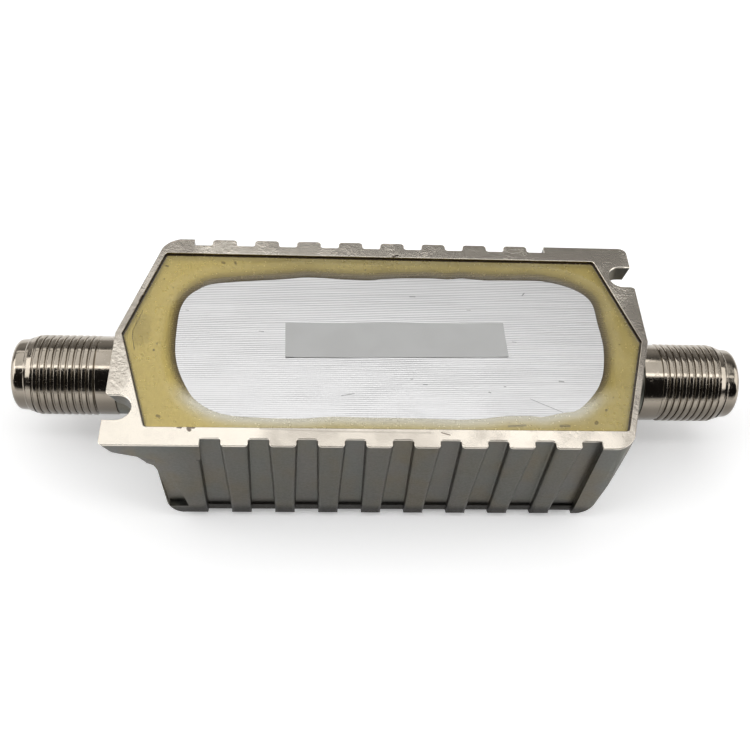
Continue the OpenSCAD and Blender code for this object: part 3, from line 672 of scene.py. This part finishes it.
barrel_lo, barrel_hi = (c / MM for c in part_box("output_port_barrel"))
insert_lo, insert_hi = (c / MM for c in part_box("output_port_insulator"))
back_x, front_x, seat_x = barrel_lo.x, barrel_hi.x, insert_lo.x
cut_r = CREST_R - CONE_FALL * (CUT_X - CONE_X) - 0.12
port_outline = [
    (BORE_R, back_x), (SHANK_R, back_x), (SHANK_R, COLLAR_X),
    (COLLAR_R - 0.2, COLLAR_X), (COLLAR_R - 0.08, COLLAR_X + 0.06), (COLLAR_R, COLLAR_X + 0.2),
    (COLLAR_R, THREAD_X + 0.02), (COLLAR_R - 0.06, THREAD_X + 0.12),
    (ROOT_R, THREAD_X + 0.22), (ROOT_R, CONE_X + 0.2), (cut_r, CUT_X),
    (NOSE_R + 0.08, NOSE_X), (NOSE_R, NOSE_X + 0.12), (LIP_R, front_x - 0.9)]
for angle in [pi / 2 * k / 8 for k in range(1, 9)]:
    port_outline.append((LIP_R - 0.85 * (1 - cos(angle)), front_x - 0.8 + 0.8 * sin(angle)))
port_outline += [
    (MOUTH_R + 0.1, front_x), (MOUTH_R, front_x - 0.12), (MOUTH_R, seat_x), (2.8, seat_x),
    (2.8, back_x + 0.6), (BORE_R, back_x + 0.6)]
print("port outline points:", len(port_outline), "length in mm:", round(front_x - back_x, 2))

# %% [markdown]
# A thread is a ridge that follows a helix. Rings would look alike at a glance, but their ends and
# their slant would be wrong. Geometry Nodes sweep a trapezoid with eased corners along a spiral.
# The ridge thins out at both ends, as a cut thread does where the tool enters and leaves.

# %% Thread ridge along a helix
PITCH, TURNS = 0.79375, 10.4
RIDGE_FOOT, RIDGE_TOP, RIDGE_EASE = 0.98, 0.5, 0.08
THREAD_SIZES = {
    "Root Radius": ROOT_R * MM, "Depth": (CREST_R - ROOT_R) * MM, "Pitch": PITCH * MM, "Turns": TURNS,
    "Start": THREAD_X * MM, "Axis Height": PORT_Z * MM, "Cone Start": CONE_X * MM, "Cone Fall": CONE_FALL}
thread = bpy.data.node_groups.new("wind_thread", "GeometryNodeTree")
thread.interface.new_socket("Geometry", in_out="OUTPUT", socket_type="NodeSocketGeometry")
thread.interface.new_socket("Geometry", in_out="INPUT", socket_type="NodeSocketGeometry")
for label, size in THREAD_SIZES.items():
    thread.interface.new_socket(label, in_out="INPUT", socket_type=NUM).default_value = size
finish_input = thread.interface.new_socket("Finish", in_out="INPUT", socket_type="NodeSocketMaterial")
finish_key = finish_input.identifier
given = thread.nodes.new("NodeGroupInput").outputs
result = thread.nodes.new("NodeGroupOutput").inputs
spiral = put(thread, "GeometryNodeCurveSpiral", {
    "Resolution": 72, "Rotations": given["Turns"], "Start Radius": given["Root Radius"],
    "End Radius": given["Root Radius"], "Height": times(thread, given["Turns"], given["Pitch"])})
helix = put(thread, "GeometryNodeSetCurveNormal", {"Curve": spiral.outputs[0]}, mode="Z_UP")
ridge = put(thread, "GeometryNodeCurvePrimitiveQuadrilateral", {
    "Bottom Width": times(thread, given["Pitch"], RIDGE_FOOT),
    "Top Width": times(thread, given["Pitch"], RIDGE_TOP),
    "Height": times(thread, given["Depth"], 1.2), "Offset": 0.0}, mode="TRAPEZOID")
eased = put(thread, "GeometryNodeFilletCurve", {
    "Curve": ridge.outputs[0], "Count": 3, "Radius": RIDGE_EASE * MM}, mode="POLY")
lift = put(thread, "ShaderNodeCombineXYZ", {"X": times(thread, given["Depth"], -0.4)}).outputs[0]
stood = put(thread, "GeometryNodeTransform", {
    "Geometry": eased.outputs[0], "Translation": lift, "Rotation": (0, 0, pi / 2)})
part_way = put(thread, "GeometryNodeSplineParameter").outputs["Factor"]
taper = calc(thread, "MINIMUM", ramp(thread, part_way, 0.0, 0.04, 0.02, 1.0),
             ramp(thread, part_way, 0.97, 1.0, 1.0, 0.2))
swept = put(thread, "GeometryNodeCurveToMesh", {
    "Curve": helix.outputs[0], "Profile Curve": stood.outputs[0], "Scale": taper, "Fill Caps": True})
print("thread nodes for the ridge:", len(thread.nodes))

# %% [markdown]
# On the real port the front of the thread was turned down to a cone, so that a nut starts easily,
# and this cuts the crests of the last turns. A point outside the cone is moved in to it, which
# needs no cutting. The ridge then joins the core, and both get the nickel.

# %% Thread turned down at its front
start = put(thread, "ShaderNodeCombineXYZ", {"X": given["Start"], "Z": given["Axis Height"]}).outputs[0]
laid = put(thread, "GeometryNodeTransform", {
    "Geometry": swept.outputs[0], "Translation": start, "Rotation": (0, pi / 2, 0)})
point = put(thread, "GeometryNodeInputPosition").outputs[0]
here = put(thread, "ShaderNodeSeparateXYZ", {0: point}).outputs
above = calc(thread, "SUBTRACT", here["Z"], given["Axis Height"])
squares = [calc(thread, "POWER", value, 2.0) for value in (here["Y"], above)]
point_r = calc(thread, "SQRT", calc(thread, "ADD", *squares))
crest_r = calc(thread, "ADD", given["Root Radius"], given["Depth"])
into_cone = calc(thread, "SUBTRACT", here["X"], given["Cone Start"])
cone_r = calc(thread, "SUBTRACT", crest_r, times(thread, into_cone, given["Cone Fall"]))
shrink = calc(thread, "MINIMUM", 1.0, calc(thread, "DIVIDE", cone_r, point_r))
turned_point = put(thread, "ShaderNodeCombineXYZ", {
    "X": here["X"], "Y": times(thread, here["Y"], shrink),
    "Z": calc(thread, "MULTIPLY_ADD", above, shrink, given["Axis Height"])}).outputs[0]
coned = put(thread, "GeometryNodeSetPosition", {"Geometry": laid.outputs[0], "Position": turned_point})
joined = thread.nodes.new("GeometryNodeJoinGeometry")
thread.links.new(coned.outputs[0], joined.inputs[0])
thread.links.new(given["Geometry"], joined.inputs[0])
real = put(thread, "GeometryNodeRealizeInstances", {"Geometry": joined.outputs[0]})
coated = put(thread, "GeometryNodeSetMaterial", {"Geometry": real.outputs[0], "Material": given["Finish"]})
thread.links.new(coated.outputs[0], result["Geometry"])
print("thread nodes in all:", len(thread.nodes))

# %% [markdown]
# The part has the same port at both ends. Mirroring one would make a left-hand thread, which no nut
# fits, so the second port is the first turned half round about the upright axis.

# %% Two threaded ports
def half_turn(mesh):
    """Turns a mesh half round about the upright axis, from the output end to the input end."""
    mesh.transform(Matrix.Rotation(pi, 4, "Z"))


for side in ("output", "input"):
    port = set_out(side + "_port_threaded", lathe(port_outline))
    winding = port.modifiers.new("thread", "NODES")
    winding.node_group = thread
    winding[finish_key] = bright_nickel
    keep_result(port, 30, weigh=True)
    if side == "input":
        half_turn(port.data)
    radii = [hypot(v.co.y, v.co.z - PORT_Z * MM) / MM for v in port.data.vertices]
    seat(port, side + "_port_barrel")
    print(side, "port faces:", len(port.data.polygons), "largest radius:", round(max(radii), 3))

# %% [markdown]
# A white plastic insulator fills each port's mouth. On the real one its hole is flared so that the
# cable's centre wire finds it, and its face is dished. Revolving an outline gives both.

# %% Port insulators
white_plastic, tree, shader, place = start_finish("port_insulator")
moulded = use(tree, fine_grain, Place=place, Grain=0.25, Patch=2.0)
plastic = mix_colour(tree, moulded["Patches"], (0.80, 0.785, 0.73), (0.74, 0.725, 0.665))
end_finish(tree, shader, plastic, ramp(tree, moulded["Height"], 0, 1, 0.38, 0.5), moulded["Height"], 0.006)
HOLE_R, DISH = 0.8, 0.14
edge_r, face_x = insert_hi.y, insert_hi.x
insert_outline = [
    (HOLE_R, seat_x), (edge_r, seat_x), (edge_r, face_x - 0.12), (edge_r - 0.12, face_x),
    (2.5, face_x), (2.3, face_x - DISH), (1.5, face_x - DISH), (1.25, face_x - 0.2), (HOLE_R, face_x - 0.65)]
for side in ("output", "input"):
    insert = set_out(side + "_port_insert", lathe(insert_outline, 64), white_plastic)
    if side == "input":
        half_turn(insert.data)
    insert.data.shade_smooth()
    insert.data.set_sharp_from_angle(angle=radians(30))
    seat(insert, side + "_port_insulator")
print("insert outline points:", len(insert_outline))

# %% [markdown]
# The cover is a sheet of aluminium with drawn lines along its length. An even wave makes the tool's
# pitch, and a stretched noise lets some lines fade. Both swing about nothing, so that the patches
# where lines fade turn neither darker nor paler. A few nicks and one scratch sit where the photo
# has them.

# %% Drawn aluminium finish
COVER_NICKS = [
    (16.1, -7.65, 19.6, -9.45, 0.08), (4.1, -5.85, 4.5, -5.85, 0.14), (19.8, -5.15, 20.3, -5.2, 0.16),
    (11.5, -6.8, 11.65, -6.85, 0.16), (15.0, 0.5, 15.4, 0.45, 0.14), (-14.7, 1.5, -14.2, 1.45, 0.13),
    (2.7, -5.1, 2.9, -5.1, 0.12), (13.3, -6.0, 13.5, -6.0, 0.12), (3.2, 7.2, 3.8, 7.2, 0.15),
    (10.0, 5.25, 10.4, 5.25, 0.13), (17.0, 7.7, 17.3, 8.1, 0.15), (-5.2, -7.5, -3.8, -7.2, 0.1),
    (-23.4, 4.5, -23.1, 4.45, 0.13)]
drawn_aluminium, tree, shader, place = start_finish("drawn_aluminium")
wander = put(tree, "ShaderNodeTexNoise", {
    "Vector": vec(tree, "MULTIPLY", place, (0.05, 0.3, 0.3)), "Scale": 1.0})
shift = put(tree, "ShaderNodeCombineXYZ", {"Y": times(tree, wander.outputs["Fac"], 0.2)}).outputs[0]
wave = put(tree, "ShaderNodeTexWave", {
    "Vector": vec(tree, "ADD", place, shift), "Scale": 1.16, "Distortion": 0.0},
    wave_type="BANDS", bands_direction="Y").outputs["Fac"]
drawn = put(tree, "ShaderNodeTexNoise", {
    "Vector": vec(tree, "MULTIPLY", place, (0.06, 5.0, 1.0)), "Scale": 1.0, "Detail": 3.0}).outputs["Fac"]
fade = use(tree, fine_grain, Place=vec(tree, "MULTIPLY", place, (0.5, 1.0, 1.0)), Grain=0.3, Patch=3.5)
even_lines = times(tree, calc(tree, "SUBTRACT", wave, 0.5), ramp(tree, fade["Patches"], 0, 1, 0.45, 0.8))
line_height = calc(tree, "MULTIPLY_ADD", calc(tree, "SUBTRACT", drawn, 0.5), 0.6, even_lines)
nicks = strokes(tree, place, COVER_NICKS)
across_cover = put(tree, "ShaderNodeSeparateXYZ", {0: place}).outputs["Y"]
contrast = ramp(tree, across_cover, -9.0, 1.0, 0.35, 1.0)
tone = calc(tree, "MULTIPLY_ADD", times(tree, line_height, 2.4), contrast, 0.5, clamp=True)
sheet_colour = mix_colour(tree, tone, (0.6, 0.6, 0.604), (1.0, 1.0, 1.0))
sheet_colour = mix_colour(tree, times(tree, nicks, 0.75), sheet_colour, (0.3, 0.3, 0.3))
shader.inputs["Metallic"].default_value = 1.0
end_finish(tree, shader, sheet_colour, ramp(tree, drawn, 0.3, 0.7, 0.3, 0.4),
           calc(tree, "SUBTRACT", line_height, nicks), 0.012)
print("drawn aluminium nodes:", len(tree.nodes))

# %% [markdown]
# The resin is a clear amber that has yellowed unevenly and caught dust while it set. Specks give
# the dust, strokes the stains, and a chain of strokes the line where one run of resin met another.

# %% Amber body of the resin
RUN_LINE = [(-28.2, 3.7), (-28.66, 1.95), (-29.0, 0.65), (-28.93, -0.4), (-28.5, -2.0)]
RUN_WIDTHS = [0.1, 0.12, 0.12, 0.09]
RESIN_STAINS = [
    (-26.1, -1.04, -26.14, -1.14, 0.17), (-26.4, -1.95, -26.36, -2.1, 0.22), (-26.2, 10.8, -26.0, 10.7, 0.3),
    (-19.5, 11.5, -19.3, 11.4, 0.3), (-18.0, 11.6, -17.9, 11.3, 0.25), (22.9, -11.3, 23.0, -11.2, 0.4),
    (24.3, -9.6, 24.4, -9.5, 0.25), (18.9, -11.7, 19.8, -11.7, 0.35), (-25.1, -10.9, -24.9, -11.0, 0.35),
    (13.1, -11.8, 14.9, -11.65, 0.3)]
RUN_HAZE = [(-28.0, 2.2, -28.0, -0.4, 1.9)]
sealing_resin, tree, shader, place = start_finish("sealing_resin")
axes = put(tree, "ShaderNodeSeparateXYZ", {0: place}).outputs
body = use(tree, fine_grain, Place=place, Grain=0.5, Patch=3.0)
amber = mix_colour(tree, body["Patches"], (0.68, 0.545, 0.185), (0.62, 0.49, 0.155))
paler_end = times(tree, ramp(tree, axes["X"], -8.0, -22.0), 0.8)
amber = mix_colour(tree, paler_end, amber, (0.84, 0.665, 0.215))
dust = use(tree, specks, Place=place, Spacing=1.1, Size=0.11, Share=0.34)["Mask"]
dirt = calc(tree, "MAXIMUM", dust, strokes(tree, place, RESIN_STAINS))
run_marks = [(*a, *b, width) for a, b, width in zip(RUN_LINE, RUN_LINE[1:], RUN_WIDTHS)]
dirt = times(tree, calc(tree, "MAXIMUM", dirt, strokes(tree, place, run_marks)), 0.75)
dirt = calc(tree, "MAXIMUM", dirt, times(tree, strokes(tree, place, RUN_HAZE), 0.22))
amber = mix_colour(tree, dirt, amber, (0.13, 0.095, 0.035))
print("resin nodes for its body:", len(tree.nodes))

# %% [markdown]
# Resin thins to nothing at its inner edge: there the cover shows through on the near side, painted
# pale as a reflection of the bright cover, and on the far side the edge is painted dark, a painted shade
# for the view it bends away. A dark line painted along the wall stands for dirt and the shade in the gap
# there. The mesh carries the distance to the edge and to the wall as attributes, so the finish follows both.

# %% Edges of the resin
wall_gap = put(tree, "ShaderNodeAttribute", attribute_name="wall_gap").outputs["Fac"]
edge_gap = put(tree, "ShaderNodeAttribute", attribute_name="edge_gap").outputs["Fac"]
far_side = ramp(tree, axes["Y"], -9.2, -5.5)
near_side = calc(tree, "SUBTRACT", 1.0, far_side)
# Painted reflection: the thin inner edge on the near side is paled, for the bright cover seen through it.
painted_pale_edge_reflection = times(tree, ramp(tree, edge_gap, 0.1, 2.6, 1.0, 0.0), near_side)
amber = mix_colour(tree, painted_pale_edge_reflection, amber, (0.93, 0.89, 0.74))
# Painted shade: the thin inner edge on the far side is darkened.
painted_dark_edge_shade = times(tree, ramp(tree, edge_gap, 0.0, 1.4, 1.0, 0.0), far_side, 0.92)
amber = mix_colour(tree, painted_dark_edge_shade, amber, (0.13, 0.095, 0.06))
# Painted shade and dirt: a dark line along the recess wall.
amber = mix_colour(tree, ramp(tree, wall_gap, 0.1, 0.24, 1.0, 0.0), amber, (0.11, 0.076, 0.042))
shader.inputs["Transmission Weight"].default_value = 0.6
shader.inputs["IOR"].default_value = 1.5
end_finish(tree, shader, amber, ramp(tree, body["Height"], 0, 1, 0.16, 0.28), body["Height"], 0.003)
print("resin nodes in all:", len(tree.nodes))

# %% [markdown]
# The ring of resin lies between two outlines: the pointed recess, which is straight, and its own
# wavy inner edge, which is a smooth curve through points. Both are met by the same rays from the
# middle, so that the ring's rows of points never cross.

# %% Outlines of the resin
RECESS_APEX, RECESS_HW, PLATE_TOP, SEAT_Z, RESIN_TOP = 30.13, 12.55, 16.4, 15.6, 17.08
CENTRE = Vector((0.7, -0.5))
INNER_EDGE = [
    (25.74, 0.0), (25.62, 3.5), (25.5, 6.3), (24.8, 7.75), (23.4, 8.85), (21.6, 9.6), (19.2, 10.1),
    (15.8, 10.05), (12.6, 9.98), (9.8, 10.24), (8.0, 10.02), (5.4, 10.18), (0.6, 9.92), (-1.7, 9.64),
    (-5.4, 9.72), (-9.1, 9.92), (-12.4, 9.5), (-17.9, 8.95), (-20.8, 8.48), (-22.2, 7.6), (-23.3, 6.5),
    (-24.0, 4.6), (-24.15, 1.9), (-24.05, -1.5), (-23.5, -4.05), (-22.5, -6.4), (-21.4, -8.15),
    (-19.6, -9.55), (-17.3, -10.3), (-14.4, -10.5), (-11.8, -10.6), (-9.0, -10.54), (-6.2, -10.28),
    (-2.0, -10.36), (1.2, -10.35), (5.8, -10.47), (8.4, -10.5), (10.9, -10.3), (13.0, -9.98),
    (16.0, -9.93), (17.2, -10.04), (19.5, -9.48), (21.1, -9.2), (22.5, -8.05), (23.8, -6.5),
    (24.5, -5.3), (25.2, -3.4)]


def hexagon(apex, hw):
    """Corners of the pointed outline that the recess and the cover share."""
    short = apex - SLOPE * hw
    corners = (apex, 0), (short, hw), (-short, hw), (-apex, 0), (-short, -hw), (short, -hw)
    return [Vector(corner) for corner in corners]


def through(points, parts):
    """A smooth closed curve through the points: each span leans on the points beside it."""
    n, path = len(points), []
    for i in range(n):
        p0, p1, p2, p3 = (Vector(points[(i + j) % n]) for j in (-1, 0, 1, 2))
        bend, twist = 2 * p0 - 5 * p1 + 4 * p2 - p3, 3 * p1 - p0 - 3 * p2 + p3
        for t in [k / parts for k in range(parts)]:
            path.append(0.5 * (2 * p1 + (p2 - p0) * t + bend * t * t + twist * t ** 3))
    return path


def ray_hit(path, angle):
    """Where a ray from the centre leaves a closed outline."""
    way = Vector((cos(angle), sin(angle)))
    for a, b in zip(path, path[1:] + path[:1]):
        side, off = b - a, a - CENTRE
        cross = way.x * side.y - way.y * side.x
        if abs(cross) > 1e-9:
            reach = (off.x * side.y - off.y * side.x) / cross
            part = (off.x * way.y - off.y * way.x) / cross
            if reach > 0 and -1e-9 <= part <= 1 + 1e-9:
                return CENTRE + way * reach
    raise ValueError("no crossing")


def gap_to(path, spot, closed=True):
    """Distance from a point to an outline."""
    gaps = []
    for a, b in zip(path, path[1:] + path[:1] if closed else path[1:]):
        side = b - a
        part = max(0, min(1, (spot - a).dot(side) / side.length_squared))
        gaps.append((spot - (a + side * part)).length)
    return min(gaps)


recess, inner = hexagon(RECESS_APEX, RECESS_HW), through(INNER_EDGE, 4)
print("resin is", round(min(gap_to(recess, spot) for spot in inner), 2), "mm wide where it is narrowest")

# %% [markdown]
# Resin was poured as a liquid, so it lies level, climbs a little at the wall, swells faintly where
# two runs met, and thins to nothing at its inner edge. Its height follows from those distances. A
# fluid simulation could give the same, but this is exact and takes seconds.

# %% Pouring the resin
RAYS, ROWS, EDGE_RUN = 260, 22, 2.2
CLIMB, SWELL, RUN_BEAD = (0.05, 0.25), 0.025, (0.06, 0.16)
run_points = [Vector(p) for p in RUN_LINE]


def resin_height(spot, wall, edge):
    """Height of the resin's top at a place, from its distances to the wall and to the inner edge."""
    thin = (1 - min(edge, EDGE_RUN) / EDGE_RUN) ** 2
    height = RESIN_TOP - (RESIN_TOP - PLATE_TOP + 0.03) * thin + CLIMB[0] * exp(-wall / CLIMB[1])
    height += SWELL * noise.noise(Vector((spot.x * 0.3, spot.y * 0.3, 3.0))) * (1 - thin)
    return height + RUN_BEAD[0] * exp(-(gap_to(run_points, spot, False) / RUN_BEAD[1]) ** 2)


angles = [2 * pi * k / RAYS - pi for k in range(RAYS)]
angles = sorted(angles + [atan2(c.y - CENTRE.y, c.x - CENTRE.x) for c in recess])
pour = bmesh.new()
wall_layer = pour.verts.layers.float.new("wall_gap")
edge_layer = pour.verts.layers.float.new("edge_gap")
top, low = [], []
for angle in angles:
    outer_end, inner_end = ray_hit(recess, angle), ray_hit(inner, angle)
    top.append([])
    low.append([])
    for row in range(ROWS + 1):
        spot = outer_end.lerp(inner_end, 0.5 - 0.5 * cos(pi * row / ROWS))
        wall, edge = gap_to(recess, spot), gap_to(inner, spot)
        under = PLATE_TOP - 0.04 if wall > 0.32 else SEAT_Z
        for rows, z in ((top, resin_height(spot, wall, edge)), (low, under)):
            vert = pour.verts.new((spot.x * MM, spot.y * MM, z * MM))
            vert[wall_layer] = wall
            vert[edge_layer] = edge
            rows[-1].append(vert)
for i in range(len(angles)):
    j = (i + 1) % len(angles)
    for row in range(ROWS):
        pour.faces.new((top[i][row], top[i][row + 1], top[j][row + 1], top[j][row]))
        pour.faces.new((low[i][row], low[j][row], low[j][row + 1], low[i][row + 1]))
    pour.faces.new((top[i][0], top[j][0], low[j][0], low[i][0]))
    pour.faces.new((top[i][ROWS], low[i][ROWS], low[j][ROWS], top[j][ROWS]))
bmesh.ops.recalc_face_normals(pour, faces=pour.faces)
resin_poured = set_out("resin_poured", pour, sealing_resin)
resin_poured.data.shade_smooth()
resin_poured.data.set_sharp_from_angle(angle=radians(60))
seat(resin_poured, "resin_seal")
print("resin faces:", len(resin_poured.data.polygons))

# %% [markdown]
# A small bare label of pale film sits in the middle of the cover. Film is never quite flat: its
# near corners lift a little, so it is a fine grid with a thin body and not a block.

# %% Bare label
LABEL_L, LABEL_W, LABEL_MID, LABEL_TURN = 25.85, 5.06, Vector((1.28, 0.46)), radians(1.1)
LABEL_LIFT, LABEL_THICK = 0.1, 0.07
label_film, tree, shader, place = start_finish("label_film")
film = use(tree, fine_grain, Place=place, Grain=0.18, Patch=4.0)
film_colour = mix_colour(tree, film["Patches"], (0.49, 0.493, 0.485), (0.468, 0.47, 0.462))
end_finish(tree, shader, film_colour, ramp(tree, film["Height"], 0, 1, 0.42, 0.52), film["Height"], 0.003)
film_grid = bmesh.new()
bmesh.ops.create_grid(film_grid, x_segments=60, y_segments=14, size=0.5)
for vert in film_grid.verts:
    u, v = vert.co.x, vert.co.y
    lifted = LABEL_LIFT * max(0, (abs(u) - 0.42) / 0.08) ** 2 * max(0, (-v - 0.1) / 0.4) ** 2
    flat_spot = Matrix.Rotation(LABEL_TURN, 2) @ Vector((u * LABEL_L, v * LABEL_W)) + LABEL_MID
    vert.co = Vector((*flat_spot, PLATE_TOP + 0.01 + lifted)) * MM
label_bare = set_out("label_bare", film_grid, label_film)
film_body = label_bare.modifiers.new("film_body", "SOLIDIFY")
film_body.thickness = LABEL_THICK * MM
film_body.offset = 1.0
keep_result(label_bare)
seat(label_bare, "cover_label")
print("label faces:", len(label_bare.data.polygons))

# %% [markdown]
# Inside the sealed casing lie the board and its parts, which no view shows. They still get a true
# finish each. One function makes them all from a short table: two tones, metal or not, a range of
# roughness, the size of the grain and its depth.

# %% Finishes inside the casing
INSIDE = {
    "contact_brass": ((0.78, 0.6, 0.3), (0.66, 0.49, 0.23), 1, (0.2, 0.32), 0.2, 0.004),
    "board_laminate": ((0.03, 0.16, 0.07), (0.025, 0.12, 0.05), 0, (0.35, 0.5), 0.35, 0.02),
    "board_copper": ((0.75, 0.4, 0.22), (0.6, 0.32, 0.17), 1, (0.3, 0.45), 0.3, 0.006),
    "screw_steel": ((0.6, 0.6, 0.6), (0.48, 0.48, 0.48), 1, (0.3, 0.42), 0.25, 0.006),
    "solder": ((0.7, 0.71, 0.72), (0.58, 0.59, 0.6), 1, (0.25, 0.45), 0.4, 0.02),
    "chip_black": ((0.022, 0.022, 0.024), (0.03, 0.03, 0.03), 0, (0.5, 0.65), 0.08, 0.008),
    "capacitor_ceramic": ((0.42, 0.29, 0.16), (0.36, 0.24, 0.13), 0, (0.4, 0.55), 0.12, 0.006),
    "resistor_black": ((0.02, 0.02, 0.022), (0.03, 0.028, 0.028), 0, (0.35, 0.5), 0.1, 0.004),
    "ferrite": ((0.05, 0.05, 0.052), (0.07, 0.068, 0.066), 0, (0.55, 0.7), 0.15, 0.02),
    "enamelled_wire": ((0.6, 0.27, 0.1), (0.5, 0.21, 0.07), 1, (0.22, 0.35), 0.3, 0.003),
}


def inside_finish(name, light, dark, metal, rough, grain, depth):
    """A grained finish in two tones."""
    finish, tree, shader, place = start_finish(name)
    body = use(tree, fine_grain, Place=place, Grain=grain, Patch=8 * grain)
    shader.inputs["Metallic"].default_value = metal
    end_finish(tree, shader, mix_colour(tree, body["Patches"], light, dark),
               ramp(tree, body["Height"], 0, 1, *rough), body["Height"], depth)
    return finish


finishes = {name: inside_finish(name, *values) for name, values in INSIDE.items()}
finishes |= {"cast_zinc": cast_zinc, "drawn_aluminium": drawn_aluminium, "sealing_resin": sealing_resin,
             "label_film": label_film, "port_nickel": bright_nickel, "port_insulator": white_plastic}
for node, part in nodes.items():
    for material_slot in part.material_slots:
        material_slot.material = finishes[slot_of[node]]
print("finished CAD nodes:", len(nodes), "finishes:", len(finishes))
